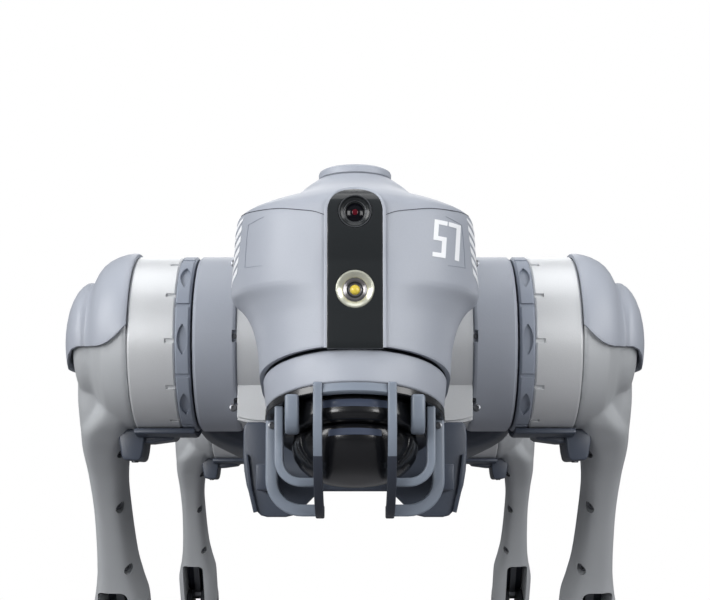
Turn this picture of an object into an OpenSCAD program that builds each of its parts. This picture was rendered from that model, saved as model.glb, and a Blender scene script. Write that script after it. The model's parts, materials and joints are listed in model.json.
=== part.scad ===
// Four-legged walking robot, standing. +X is forward, +Y is its left, +Z is up.
// The origin is on the ground under the middle of its length.

/* [Stance] */
// Thigh angle back from straight down, degrees
thigh_angle = 35; // [28:1:38]
// Knee bend between thigh and shank, degrees
knee_bend = 70; // [64:1:74]

/* [Legs] */
// Thigh length, hip axis to knee axis
thigh_len = 213; // [211:0.5:216]
// Shank length, knee axis to foot centre
shank_len = 213; // [211:0.5:216]
// Ball foot radius
foot_r = 22; // [20:0.5:23]
// Distance of the swing axes ahead of and behind the trunk's centre
hip_x = 193.4; // [193:0.1:196]
// Distance of each abduction axis from the middle plane
hip_y = 46.5; // [46.5:0.1:47]
// Radius of the round motor drums
drum_r = 47; // [46.5:0.1:47.2]
// Radius of the forked knee
knee_r = 19; // [18.6:0.1:19.6]

/* [Trunk] */
// Half width of the trunk between the legs
trunk_w = 98; // [94:1:99]
// Height of the back above the hip axes
trunk_top = 60; // [58:0.5:62]
// Depth of the belly below the hip axes
trunk_bottom = 58.5; // [58:0.5:62]
// Shell wall
wall = 2.4; // [2:0.1:2.6]
// Payload hole spacing along the trunk
payload_x = 100; // [80:5:110]
// Payload hole spacing across the trunk
payload_y = 60; // [50:5:60]
// Payload hole radius
payload_r = 2; // [1.6:0.1:2.5]

/* [Head] */
// Width of the black face strip
strip_w = 24.6; // [22:0.2:26]
// Radius of the round antenna cap
antenna_r = 18; // [17:0.5:18]
// Forward tilt of the range scanner, degrees
scan_tilt = 15; // [13:0.5:16]

/* [Hidden] */

$fn = 72;
shank_angle = thigh_angle - knee_bend;
// height of the hip axes, so that the feet stand on the ground
H = thigh_len*cos(thigh_angle) + shank_len*cos(shank_angle) + foot_r;
// plane of each leg, crank throw of the knee linkage and the crank's rest angle from the thigh
leg_y = 142.8;
throw = 11;
arm_delta = 203;
crank_angle = arm_delta - knee_bend;
GREY = [0.66, 0.69, 0.74];
SILVER = [0.82, 0.83, 0.84];
SLATE = [0.22, 0.24, 0.28];
BLACK = [0.05, 0.05, 0.055];

function sgn(v) = v < 0 ? -1 : 1;
function spow(v, e) = sgn(v)*pow(abs(v), e);
function lerp(a, b, t) = a + (b - a)*t;
// straight-line reading of a table of rows at x, taking column c
function tab(t, x, c, i=0) = x <= t[0][0] ? t[0][c] : i >= len(t)-1 ? t[len(t)-1][c]
  : x <= t[i+1][0] ? lerp(t[i][c], t[i+1][c], (x - t[i][0])/(t[i+1][0] - t[i][0])) : tab(t, x, c, i+1);

// Y-axis cylinder from y0 to y1
module ycyl(r, y0, y1, x=0, z=0) { translate([x, y0, z]) rotate([-90, 0, 0]) cylinder(r=r, h=y1-y0); }
// X-axis cylinder from x0 to x1
module xcyl(r, x0, x1, y=0, z=0) { translate([x0, y, z]) rotate([0, 90, 0]) cylinder(r=r, h=x1-x0); }
module box(a, b) { translate(a) cube(b - a); }
// solid of revolution about Y from points (y, r)
module yrev(p, a=360) { rotate([-90, 0, 0]) rotate_extrude(angle=a) polygon([for (q = p) [q[1], q[0]]]); }
// rectangle with true round corners
module rrect(w, h, r) {
  square([w - 2*r, h], center=true);
  square([w, h - 2*r], center=true);
  for (i = [-1, 1], j = [-1, 1]) translate([i*(w/2 - r), j*(h/2 - r)]) circle(r);
}

// solid through closed rings, flat at both ends
module loft(rings) {
  m = len(rings); n = len(rings[0]);
  polyhedron([for (r = rings) each r], concat(
    [for (i = [0:m-2], j = [0:n-1]) let(k = (j+1)%n) each
      [[i*n+j, i*n+k, (i+1)*n+k], [i*n+j, (i+1)*n+k, (i+1)*n+j]]],
    [[for (j = [n-1:-1:0]) j]], [[for (j = [0:n-1]) (m-1)*n + j]]));
}
// wall between outer and inner closed rings; the far end is closed when cap is true
module ring_shell(o, q, cap=false) {
  m = len(o); n = len(o[0]); s = m*n;
  polyhedron(concat([for (r = o) each r], [for (r = q) each r]), concat(
    [for (i = [0:m-2], j = [0:n-1]) let(k = (j+1)%n) each
      [[i*n+j, i*n+k, (i+1)*n+k], [i*n+j, (i+1)*n+k, (i+1)*n+j],
       [s+i*n+j, s+(i+1)*n+k, s+i*n+k], [s+i*n+j, s+(i+1)*n+j, s+(i+1)*n+k]]],
    [for (j = [0:n-1]) let(k = (j+1)%n) each [[j, s+j, s+k], [j, s+k, k]]],
    cap ? [[for (j = [0:n-1]) (m-1)*n+j], [for (j = [n-1:-1:0]) s+(m-1)*n+j]]
        : [for (j = [0:n-1]) let(k = (j+1)%n, a = (m-1)*n) each [[a+j, s+a+k, s+a+j], [a+j, a+k, s+a+k]]]));
}
// wall between two open grids of points, closed along all four edges
module grid_shell(o, q) {
  m = len(o); n = len(o[0]); s = m*n;
  polyhedron(concat([for (r = o) each r], [for (r = q) each r]), concat(
    [for (i = [0:m-2], j = [0:n-2]) each
      [[i*n+j, i*n+j+1, (i+1)*n+j+1], [i*n+j, (i+1)*n+j+1, (i+1)*n+j],
       [s+i*n+j, s+(i+1)*n+j+1, s+i*n+j+1], [s+i*n+j, s+(i+1)*n+j, s+(i+1)*n+j+1]]],
    [for (j = [0:n-2]) let(a = (m-1)*n) each
      [[j, s+j+1, j+1], [j, s+j, s+j+1], [a+j, a+j+1, s+a+j+1], [a+j, s+a+j+1, s+a+j]]],
    [for (i = [0:m-2]) let(b = n-1) each
      [[i*n, (i+1)*n, s+(i+1)*n], [i*n, s+(i+1)*n, s+i*n],
       [i*n+b, s+(i+1)*n+b, (i+1)*n+b], [i*n+b, s+i*n+b, s+(i+1)*n+b]]]));
}

// ---------------------------------------------------------------- trunk
// rows: x, half width, crown height, edge height, inward shift of the inner skin
function trunk_rows(z1, z2, n1, ze) = [
  [-243.5, n1, z1, z2, 0], [-200, n1, z1, z2, 0], [-144.2, n1, z1, z2, 2.4],
  [-141.8, trunk_w-10, z1*0.94, ze, 2.4], [-134, trunk_w-5, z1*0.975, ze, 0],
  [-122, trunk_w-2, z1*0.99, ze, 0], [-90, trunk_w, z1, ze, 0],
  [-45, trunk_w, z1, ze, 0], [0, trunk_w, z1, ze, 0]];
function mirror_rows(r) = concat(r, [for (i = [len(r)-2:-1:0]) [-r[i][0], r[i][1], r[i][2], r[i][3], -r[i][4]]]);
// arch across the trunk at one row, d inside the outer face
function arch(r, d, n) = [for (j = [0:n]) let(t = 180*(n-j)/n, w = r[1]-d, zt = r[2] - d*sgn(r[2]), e = 0.5)
  [r[0] + (d > 0 ? r[4] : 0), w*spow(cos(t), e), H + r[3] + (zt - r[3])*pow(abs(sin(t)), e)]];
module trunk_skin(z1, z2, n1, ze) {
  rows = mirror_rows(trunk_rows(z1, z2, n1, ze));
  grid_shell([for (r = rows) arch(r, 0, 28)], [for (r = rows) arch(r, wall, 28)]);
}
module top_shell() color(GREY) difference() {
  union() {
    trunk_skin(trunk_top + 2, 50.5, 25.5, -12);
    box([-64, -38, H+trunk_top-3], [64, 38, H+trunk_top+3.5]);
  }
  box([-61, 80, H-39], [61, 110, H+39]);
  for (i = [-1, 1], j = [-1, 1]) translate([i*payload_x/2, j*payload_y/2, H+40]) cylinder(r=payload_r, h=30);
  for (i = [-20:10:20]) translate([i-2, -18, H+trunk_top+1.5]) cube([4, 36, 9]);
}
module belly_pan() color(GREY) difference() {
  translate([0, 0, 2*H]) mirror([0, 0, 1]) trunk_skin(trunk_bottom, 50.5, 20.5, 12.4);
  box([-61, 80, H-39], [61, 110, H+39]);
  for (i = [-80:20:80]) box([i-3, -30, H-trunk_bottom-3], [i+3, 30, H-trunk_bottom+6]);
}
module chassis() color(SLATE) {
  difference() {
    union() {
      for (i = [-1, 1]) translate([i*134-3, 0, H]) rotate([90, 0, 90]) linear_extrude(6)
        polygon([for (q = [[1, -1], [1, 1], [-1, 1], [-1, -1]], k = [0:2]) let(w = [[73.4, 45], [76.2, 42], [84.2, 28]][q[0]*q[1] < 0 ? k : 2-k]) [q[0]*w[0], q[1]*w[1]]]);
      box([-134, -73, H-45], [134, 73, H-42]);
      box([-134, -73, H+42], [134, 73, H+45]);
      box([-134, -86, H-28], [134, -83.2, H+28]);
      box([-258, -18, H+51], [258, 18, H+55.3]);
      box([-242, -14, H-52], [243, 14, H-48.2]);
      for (i = [-1, 1]) { translate([i*134, 0, H+48]) cube([6, 36, 12], center=true);
        translate([i*134, 0, H-46.5]) cube([6, 28, 10], center=true); }
    }
    for (i = [-1, 1], j = [-1, 1]) xcyl(36.1, i*134-5, i*134+5, j*hip_y, H);
    for (i = [-1, 1]) translate([i*134, 0, H]) cube([8, 14, 60], center=true);
  }
}
// the four abduction motors with their output spigots
module hip_motors() color(SLATE) for (i = [0, 1], j = [-1, 1]) mirror([i, 0, 0]) translate([0, j*hip_y, H]) {
  difference() {
    union() { xcyl(36, 104, 137); xcyl(37.6, 137.05, 139.2); xcyl(35, 137, 137.1); xcyl(13.1, 139, 163.2); }
    for (a = [0:60:300]) rotate([a, 0, 0]) xcyl(1.6, 136, 142, 33, 0);
    xcyl(7, 100, 165);
  }
}
function tail_ring(x, w, z0, z1, n) = [for (j = [0:n-1]) let(t = 360*j/n)
  [x, w*spow(cos(t), 0.5), H + (z0+z1)/2 + (z1-z0)/2*spow(sin(t), 0.5)]];
module rear_cap() color(GREY) difference() {
  ring_shell([for (r = [[-244.2, 46, -52, 61], [-258, 46, -52, 61], [-268, 44, -49, 59], [-276, 39, -43, 55], [-281, 31, -35, 47], [-283, 20, -22, 36]])
      tail_ring(r[0], r[1], r[2], r[3], 36)],
    [for (r = [[-244.2, 43.6, -49.6, 58.6], [-256, 43.6, -49.6, 58.6], [-265.6, 41.6, -46.6, 56.6], [-273.6, 36.6, -40.6, 52.6], [-278.4, 29, -33, 45], [-280.4, 18, -20, 34]])
      tail_ring(r[0], r[1], r[2], r[3], 36)], true);
  for (i = [-2:2]) translate([-270, i*9, H-14]) cube([40, 3.4, 22], center=true);
}
module battery() color(SLATE) difference() {
  union() {
    box([-59.5, -78, H-38], [59.5, 92, H+38]);
    box([-60.2, 92, H-38.2], [60.2, 97, H+38.2]);
  }
  // finger grip and the power button's bore
  box([-30, 93, H-30], [30, 98, H-16]);
  box([-30, 88, H-30], [30, 94, H-22]);
  ycyl(6.05, 90, 99, 40, H+20);
}
module power_button() color(GREY) translate([0, 0, H]) { ycyl(6, 91.6, 97.6, 40, 20); }

// ---------------------------------------------------------------- head
// rows: height above the hip axes, half width, front reach, middle, back, front roundness
head_rows = [
  [-29.3, 44.3, 332.4, 290, 246, 1.0], [-17, 45.2, 331.6, 288, 245.4, 0.98], [-9.2, 46.8, 331, 284, 245, 0.96],
  [-2.8, 48.8, 330.4, 279, 244.6, 0.93], [3.8, 52.3, 330, 273, 244.4, 0.9], [7.4, 55.5, 329.7, 268, 244.3, 0.88],
  [12.5, 60, 329.3, 263, 244.2, 0.86], [18, 59.7, 329, 262, 244.2, 0.85], [30, 58.9, 327.8, 261, 244.2, 0.84],
  [42, 58.2, 325.6, 261, 244.2, 0.84], [48.6, 57.7, 323, 261, 244.2, 0.84], [51.1, 55.4, 320.6, 261, 245, 0.85],
  [55.3, 46.5, 313, 261, 246.5, 0.88], [59.1, 36.2, 304, 261, 247.5, 0.92], [62.4, 30.2, 296, 261.5, 248, 0.95],
  [65.1, 27.2, 290.5, 262, 247, 1.0], [67.5, 24.6, 287, 262, 245.6, 1.0], [72, 18.6, 280.6, 262, 243.6, 1.0]];
function head_pt(r, d, dz, t) = let(w = r[1]-d, c = cos(t), s = sin(t), e = c >= 0 ? r[5] : lerp(0.45, 1, max(0, (r[0]-55)/17)),
    xx = c >= 0 ? r[3] + (r[2]-d-r[3])*pow(c, e) : r[3] - (r[3]-r[4]-d)*pow(-c, e), yy = w*spow(s, c >= 0 ? r[5] : e),
    k = r[0] < 7.4 ? (7.4 - r[0])/36.7 : 0, hood = r[0] > 20 ? 4.6*exp(-pow(yy/19, 4))*max(0, min(1, (r[0]-20)/30))*(c > 0 ? c : 0)*(r[0] < 60 ? 1 : max(0, (72-r[0])/12)) : 0)
  [xx + hood, yy, H + r[0] - dz + k*tan(scan_tilt)*(xx - 290)];
function head_ring(r, d, dz, n) = [for (j = [0:n-1]) head_pt(r, d, dz, -360*j/n)];
// outline of the face strip, looking at the face
module strip_outline(g=0) {
  translate([0, H+42]) circle(strip_w/2 + g);
  translate([-strip_w/2 - g, H-17.4-g]) square([strip_w + 2*g, 59.4 + g]);
}
module strip_prism(g, x0, x1) translate([x0, 0, 0]) rotate([90, 0, 90]) linear_extrude(x1-x0) strip_outline(g);
module head_shell() color(GREY) difference() {
  ring_shell([for (r = head_rows) head_ring(r, 0, 0, 44)],
    [for (r = head_rows) head_ring(r, r[0] < 49 ? wall : wall*0.7, r[0] < 49 ? 0 : wall*0.9, 44)]);
  strip_prism(0.1, 312, 345);
  box([240, -19.3, H+50.6], [252, 19.3, H+57.4]);
}
module antenna_cap() color(GREY) translate([262, 0, H]) {
  difference() {
    rotate_extrude() polygon([[0, 72.3], [17.4, 72.3], [18, 73], [antenna_r, 75.4], [antenna_r-0.8, 76.6], [antenna_r-2.2, 77], [0, 77]]);
    for (a = [45:90:315]) rotate([0, 0, a]) translate([13, 0, 74]) cylinder(r=1, h=9);
  }
  translate([0, 0, 66]) cylinder(r=9, h=6.4);
}
// side profile of the strip: front line follows the face
strip_line = [for (z = [-17.4:7.44:57]) [tab(head_rows, z, 2) + (z > 20 ? 4.6*min(1, (z-20)/30) : 0), z]];
module face_panel() color(BLACK) difference() {
  intersection() {
    translate([0, 13, H]) rotate([90, 0, 0]) linear_extrude(26)
      polygon(concat([for (p = strip_line) [p[0]+0.5, p[1]]], [for (i = [len(strip_line)-1:-1:0]) [strip_line[i][0]-2.6, strip_line[i][1]]]));
    strip_prism(0, 312, 345);
  }
  xcyl(7.9, 310, 340, 0, H+42);
  xcyl(8.7, 310, 340, 0, H+7);
}
module camera_lens() color(BLACK) translate([0, 0, H+42]) difference() {
  union() { xcyl(7.8, 312, 328.6); xcyl(9.4, 308, 312); }
  xcyl(6.6, 327.6, 330);
  translate([326, 0, 0]) rotate([0, 90, 0]) cylinder(r1=3.4, r2=5.2, h=1.7);
}
module headlamp() color([0.9, 0.88, 0.8]) translate([0, 0, H+7]) difference() {
  union() { xcyl(8.6, 318, 330.6); xcyl(10, 314, 318); }
  translate([327, 0, 0]) rotate([0, 90, 0]) cylinder(r1=4.6, r2=7.6, h=3.7);
}

// ---------------------------------------------------------------- range scanner
// the scanner's own frame: its axis is Z, tilted so that its lower end points forward
module scan() { translate([290, 0, H-37.2]) rotate([0, -scan_tilt, 0]) children(); }
module lidar_collar() color(GREY) difference() {
  scan() rotate_extrude() polygon([[37.2, -7.4], [41, -7.4], [42.7, 7], [41.6, 7.4], [37.2, 7.4]]);
  box([331.6, -20, H-60], [345, 20, H]);
}
module lidar_base() color(BLACK) scan() {
  rotate_extrude() polygon([[0, -21.6], [33.6, -21.6], [35.5, -19.8], [35.5, -12], [34.6, -11.4], [34.6, -9.6], [37.1, -9], [37.1, 6], [30, 9], [0, 9]]);
  translate([0, 0, -30]) cylinder(r=5, h=9);
}
module lidar_rotor() color(BLACK) scan() difference() {
  rotate_extrude() polygon([[0, -40], [10, -39.8], [17, -38.7], [22.6, -36], [26.6, -31.8], [28.6, -27], [29, -23.6], [28.4, -22.1], [0, -22.1]]);
  translate([0, 0, -30.4]) cylinder(r=5.05, h=9);
  for (a = [0:120:240]) rotate([0, 0, a+60]) translate([29.5, 0, -28]) cube([2, 14, 3], center=true);
}
// U-shaped hoop standing across the scanner
module hoop(x0, t, w, zt, zb, bar, r) translate([x0, 0, H]) rotate([90, 0, 90]) linear_extrude(t) difference() {
  union() { translate([-w, zb+r]) square([2*w, zt-zb-r]); translate([-w+r, zb]) square([2*w-2*r, r+1]);
    for (i = [-1, 1]) translate([i*(w-r), zb+r]) circle(r); }
  translate([-w+bar, zb+r]) square([2*(w-bar), zt-zb]);
  translate([-w+r, zb+bar]) square([2*w-2*r, r+1]);
  for (i = [-1, 1]) translate([i*(w-r), zb+r]) circle(r-bar);
}
fin_outer = [[333.2, -34], [333.2, -52], [331.6, -61], [327.4, -69.5], [320.4, -78], [311, -85], [300, -90.4], [288, -93], [280, -93]];
fin_inner = [[280, -87.2], [291, -86.8], [301, -83.6], [309.6, -79], [316.8, -73], [322.4, -66.2], [326, -59], [327.8, -50], [327.8, -34]];
module lidar_guard() color(SLATE) difference() {
 union() {
  // ring under the collar that carries the bars
  scan() difference() { translate([0, 0, -11.6]) cylinder(r=43.03, h=4); translate([0, 0, -12]) cylinder(r=37.4, h=5); }
  for (j = [-1, 1]) translate([0, j*16.2+2, H]) rotate([90, 0, 0]) linear_extrude(4) polygon(concat(fin_outer, fin_inner));
  // both hoops end at the fins, so the scanner looks out freely between them
  difference() {
    union() { hoop(306.4, 7, 36, -42, -79, 4, 12); hoop(286, 8, 41.2, -44, -92.2, 5.5, 17); }
    box([280, -15, H-96], [320, 15, H-60]);
  }
  // cheek plates and the chin behind the scanner
  for (j = [-1, 1]) translate([322, j*27.6 - 3.2, H]) rotate([90, 0, 0]) mirror([0, 0, 1]) linear_extrude(6.4)
    polygon([[-6, -38], [4, -36], [4, -50], [1, -55], [-4, -56.5], [-6, -54]]);
  for (j = [0, 1]) mirror([0, j, 0]) translate([245.6, 0, H]) rotate([90, 0, 90]) linear_extrude(7)
    polygon([[-0.01, -46], [53, -46], [55, -50], [55, -62], [53.4, -76], [48, -90], [45, -92.6], [33, -92.6], [27, -90], [18, -80], [-0.01, -80]]);
  for (j = [-1, 1]) translate([252, j*43-3, H-80]) cube([35, 6, 12]);
  for (j = [-1, 1]) translate([252, j*43-3, H-58]) cube([14, 6, 10]);
 }
  // clear of the collar and of the scanner's flange
  scan() translate([0, 0, -7.55]) cylinder(r=50, h=40);
  scan() translate([0, 0, -9.4]) cylinder(r=37.3, h=30);
  scan() translate([0, 0, -21.9]) cylinder(r=35.7, h=20);
}

// ---------------------------------------------------------------- legs
// leg frame: origin at the hip, y measured outward, right legs mirrored
module leg(f, s) { translate([f*hip_x, 0, H]) mirror([0, s < 0 ? 1 : 0, 0]) children(); }
module thigh_frame() { rotate([0, thigh_angle, 0]) children(); }
module knee_frame() { thigh_frame() translate([0, 0, -thigh_len]) rotate([0, -knee_bend, 0]) children(); }

module hip_bracket(f, s) color(SILVER) leg(f, s) mirror([f < 0 ? 1 : 0, 0, 0]) difference() {
  union() {
    xcyl(45.4, -35.8, 36, hip_y, 0);
    xcyl(43.8, 36, 37.4, hip_y, 0);
    ycyl(45.4, hip_y, 61);
  }
  box([-50, 59.9, -50], [50, 95, 50]);
  xcyl(13.15, -47, -20, hip_y, 0);
  xcyl(38, -29.8, 31, hip_y, 0);
  for (a = [22.5:45:360]) translate([0, hip_y, 0]) rotate([a, 0, 0]) xcyl(1.7, 34, 40, 40.4, 0);
  xcyl(24, 36, 38, hip_y, 0);
}
module hip_cover(f, s) color(GREY) leg(f, s) difference() {
  union() {
    yrev([[60, 0], [60, 45.6], [60.8, 46.6], [62, drum_r], [81, drum_r], [82.5, 45.6], [82.5, 0]]);
    ycyl(20, 82, 89.4);
  }
  for (a = [2:45:360]) rotate([0, a, 0]) box([44.6, 59, -3], [49, 62.2, 3]);
  ycyl(9, 58, 90);
}
module shoulder_ring(f, s) color(GREY) leg(f, s) thigh_frame() difference() {
  yrev([[83.6, 24], [83.6, 45.8], [84.6, drum_r], [90.6, drum_r], [91.4, 46.2], [91.4, 24]]);
  for (a = [4-thigh_angle:45:360-thigh_angle]) rotate([0, a, 0]) intersection() {
    box([45.2, 84.9, -7.6], [49, 90.1, 7.6]);
    translate([40, 98.1, 0]) rotate([0, 90, 0]) cylinder(r=13.2, h=10);
    translate([40, 76.9, 0]) rotate([0, 90, 0]) cylinder(r=13.2, h=10);
  }
  for (a = [27-thigh_angle:45:387-thigh_angle]) rotate([0, a, 0]) box([46.2, 83, -1], [49, 92, 1]);
}
module knee_motor(f, s) color(SILVER) leg(f, s) thigh_frame() difference() {
  union() {
    yrev([[91.5, 0], [91.5, 46.2], [92.3, drum_r], [114.4, drum_r], [115.4, 46.4], [115.4, 0]]);
    ycyl(23.8, 84, 91.6);
  }
  ycyl(20.05, 83, 89.8);
  ycyl(10.05, 112.4, 116);
  ycyl(6, 80, 116);
  for (a = [5-thigh_angle:30:365-thigh_angle]) rotate([0, a, 0]) box([46, 91, -1.1], [49, 96.4, 1.1]);
}
// rows along the thigh: distance, inner face, outer face, front reach, back reach
thigh_rows = [[12, 117.2, 129, 38, 38], [26, 117.5, 140, 37, 34], [40, 119.6, 149.4, 32, 30], [56, 125.2, 150.6, 25.4, 24],
  [75, 128.8, 149.8, 20, 20], [97.7, 131, 149.3, 17.3, 17.3], [120, 130.6, 150, 16.7, 16.7], [145, 129.4, 151.7, 16.8, 16.8],
  [162, 127, 154.3, 17.6, 17.8], [176, 124.5, 157, 18.6, 18.6], [195, 124.5, 157, knee_r, knee_r], [thigh_len, 124.5, 157, knee_r, knee_r]];
function limb_ring(r, e, n) = [for (j = [0:n-1]) let(t = 360*j/n, c = spow(cos(t), e), s = spow(sin(t), e))
  [c > 0 ? c*r[3] : c*r[4], (r[1]+r[2])/2 + s*(r[2]-r[1])/2, -r[0]]];
module thigh(f, s) color(SILVER) leg(f, s) thigh_frame() difference() {
  union() {
    yrev([[115.6, 0], [115.6, 46.3], [118, 46.3], [129.8, 42.2], [134.2, 36.5], [137.6, 31], [140.2, 30.3], [144, 28.8], [147, 25], [149.8, 16], [150.4, 0]]);
    loft([for (r = thigh_rows) limb_ring(r, 0.5, 28)]);
    ycyl(knee_r, 125.4, 156.1, 0, -thigh_len);
  }
  // room for the crank, the rod's way down, the knee slot and the knee bores
  ycyl(20, 115, 147);
  box([-14.2, 138.6, -182], [12.6, 147, 0]);
  box([-16.3, 133.8, -thigh_len-30], [40, 151.8, -thigh_len+41]);
  box([-40, 133.8, -thigh_len-30], [0, 151.8, -thigh_len+6]);
  ycyl(4.65, 120, 160, 0, -thigh_len);
  ycyl(8, 120, 126.6, 0, -thigh_len);
  ycyl(8, 154.8, 160, 0, -thigh_len);
  // seat of the cap, which keeps to the hip's own level
  rotate([0, -thigh_angle, 0]) intersection() {
    yrev([[115, 46.5], [118.2, 46.5], [130.2, 42.5], [134.6, 36.8], [138, 31.2], [140.5, 30.6], [144.6, 29.1], [147.9, 25.2], [150.7, 16.5], [152.2, 9.5], [152.8, 0], [162, 0], [162, 60], [115, 60]]);
    translate([-60, 0, 0]) rotate([90, 0, 90]) linear_extrude(120)
      polygon([[113, 4.9], [118, 1.1], [122, -2.1], [126, -4.6], [130, -6.1], [143, -5.1], [149, -6.1], [151.9, -10.1], [152.9, -14.5], [158, -14.5], [158, 61], [113, 61]]);
  }
  // screw seats along the inner front edge
  for (d = [68, 128, 186]) translate([9, 118, -d]) rotate([-90, 0, 0]) cylinder(r=3, h=d == 68 ? 12.4 : d == 128 ? 14.4 : 8);
}
module thigh_cap(f, s) color(GREY) leg(f, s) intersection() {
  yrev([[115.7, 46.6], [115.7, 48.6], [118.4, 48.9], [125, 47.4], [131, 44.6], [134.4, 41.2], [136.6, 37.8], [138.6, 34.4], [139.4, 33], [141.5, 33], [145.4, 31.1],
    [149.3, 26.6], [152.6, 17.5], [154.3, 9.9], [154.9, 0], [152.9, 0], [152.2, 9.6], [150.7, 16.6], [147.9, 25.3], [144.6, 29.2], [140.5, 30.7],
    [138, 31.3], [134.6, 36.9], [130.2, 42.6], [118.2, 46.6]]);
  translate([-60, 0, 0]) rotate([90, 0, 90]) linear_extrude(120)
    polygon([[114, 5], [118, 1.2], [122, -2], [126, -4.5], [130, -6], [143, -5], [149, -6], [152, -10], [153, -14.4], [157, -14.4], [157, 60], [114, 60]]);
}
module cable_guard(f, s) color(SLATE) leg(f, s) difference() {
  union() {
    rotate([0, 50, 0]) rotate([-90, 0, 0]) rotate_extrude(angle=84) translate([47.3, 84.2]) square([3.2, 32.6]);
    intersection() { ycyl(61.5, 113.6, 124); box([-26, 113, -64], [8, 125, -46]); }
  }
  thigh_frame() ycyl(47.3, 80, 130);
  thigh_frame() loft([for (r = [for (q = thigh_rows) if (q[0] < 100) [q[0], q[1]-0.4, q[2], q[3]+0.4, q[4]+0.4]]) limb_ring(r, 0.5, 28)]);
}
module knee_crank(f, s) color(SLATE) leg(f, s) thigh_frame() rotate([0, crank_angle, 0]) difference() {
  union() {
    ycyl(10, 112.8, 118.6);
    ycyl(15.5, 118.5, 130);
    ycyl(9, 129, 138.8);
    ycyl(4.8, 129, 138.8, 0, -throw);
    box([-4.8, 129.5, -throw], [4.8, 138.8, 0]);
    ycyl(2.2, 138, 146.2, 0, -throw);
  }
  ycyl(4, 110, 140);
}
module push_rod(f, s) color(SILVER) leg(f, s) thigh_frame() translate([-throw*sin(crank_angle), 0, -throw*cos(crank_angle)]) difference() {
  union() {
    for (z = [0, -thigh_len]) ycyl(4.6, 139.8, 145.8, 0, z);
    box([-2.5, 140.3, -thigh_len], [2.5, 145.3, 0]);
  }
  ycyl(2.25, 130, 150);
  ycyl(2.5, 130, 150, 0, -thigh_len);
}
shank_rows = [[4, 134.6, 151, 6, 13], [14, 134.6, 151, 2, 17.5], [28, 134.8, 150.8, -1.6, 20.4], [50, 135.2, 150.4, -1.6, 20.6], [80, 135.8, 149.8, -0.6, 18.2],
  [110, 136.2, 149.4, 1.6, 14.4], [140, 136.2, 149.4, 4, 10.6], [168, 136, 149.6, 6.2, 8.2], [188, 135.2, 150.4, 8.4, 8.8], [shank_len-16, 134.6, 151, 9.6, 9.6]];
function shank_ring(r, n) = let(xc = (r[3]-r[4])/2, a = (r[3]+r[4])/2) [for (j = [0:n-1]) let(t = 360*j/n)
  [xc + a*spow(cos(t), 0.62), (r[1]+r[2])/2 + (r[2]-r[1])/2*spow(sin(t), 0.62), -r[0]]];
module shank(f, s) color(BLACK) leg(f, s) knee_frame() difference() {
  union() {
    ycyl(15.4, 134.3, 151.3);
    loft([for (r = shank_rows) shank_ring(r, 28)]);
    ycyl(4.6, 126.8, 154.6);
    translate([0, leg_y, -shank_len-6]) cylinder(r=7.9, h=24);
  }
  difference() {
    box([-30, 139.2, -13], [30, 146.4, 30]);
    ycyl(4.6, 126, 155);
    ycyl(2.2, 138, 148, throw*sin(arm_delta-180), throw*cos(arm_delta-180));
  }
}
module foot(f, s) color(BLACK) leg(f, s) knee_frame() difference() {
  translate([0, leg_y, -shank_len]) sphere(r=foot_r, $fn=96);
  translate([0, leg_y, -shank_len-6.2]) cylinder(r=8, h=60);
  translate([0, leg_y, -shank_len+15.6]) cylinder(r=30, h=60);
}

chassis();
hip_motors();
top_shell();
belly_pan();
rear_cap();
battery();
power_button();
head_shell();
antenna_cap();
face_panel();
camera_lens();
headlamp();
lidar_collar();
lidar_base();
lidar_rotor();
lidar_guard();
hip_bracket(1, 1);  // fl_hip_bracket
hip_cover(1, 1);  // fl_hip_cover
shoulder_ring(1, 1);  // fl_shoulder_ring
knee_motor(1, 1);  // fl_knee_motor
thigh(1, 1);  // fl_thigh
thigh_cap(1, 1);  // fl_thigh_cap
cable_guard(1, 1);  // fl_cable_guard
knee_crank(1, 1);  // fl_knee_crank
push_rod(1, 1);  // fl_push_rod
shank(1, 1);  // fl_shank
foot(1, 1);  // fl_foot
hip_bracket(1, -1);  // fr_hip_bracket
hip_cover(1, -1);  // fr_hip_cover
shoulder_ring(1, -1);  // fr_shoulder_ring
knee_motor(1, -1);  // fr_knee_motor
thigh(1, -1);  // fr_thigh
thigh_cap(1, -1);  // fr_thigh_cap
cable_guard(1, -1);  // fr_cable_guard
knee_crank(1, -1);  // fr_knee_crank
push_rod(1, -1);  // fr_push_rod
shank(1, -1);  // fr_shank
foot(1, -1);  // fr_foot
hip_bracket(-1, 1);  // rl_hip_bracket
hip_cover(-1, 1);  // rl_hip_cover
shoulder_ring(-1, 1);  // rl_shoulder_ring
knee_motor(-1, 1);  // rl_knee_motor
thigh(-1, 1);  // rl_thigh
thigh_cap(-1, 1);  // rl_thigh_cap
cable_guard(-1, 1);  // rl_cable_guard
knee_crank(-1, 1);  // rl_knee_crank
push_rod(-1, 1);  // rl_push_rod
shank(-1, 1);  // rl_shank
foot(-1, 1);  // rl_foot
hip_bracket(-1, -1);  // rr_hip_bracket
hip_cover(-1, -1);  // rr_hip_cover
shoulder_ring(-1, -1);  // rr_shoulder_ring
knee_motor(-1, -1);  // rr_knee_motor
thigh(-1, -1);  // rr_thigh
thigh_cap(-1, -1);  // rr_thigh_cap
cable_guard(-1, -1);  // rr_cable_guard
knee_crank(-1, -1);  // rr_knee_crank
push_rod(-1, -1);  // rr_push_rod
shank(-1, -1);  // rr_shank
foot(-1, -1);  // rr_foot
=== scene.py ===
import bpy, bmesh, json, math
from mathutils import Vector, Matrix
from mathutils.bvhtree import BVHTree

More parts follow.
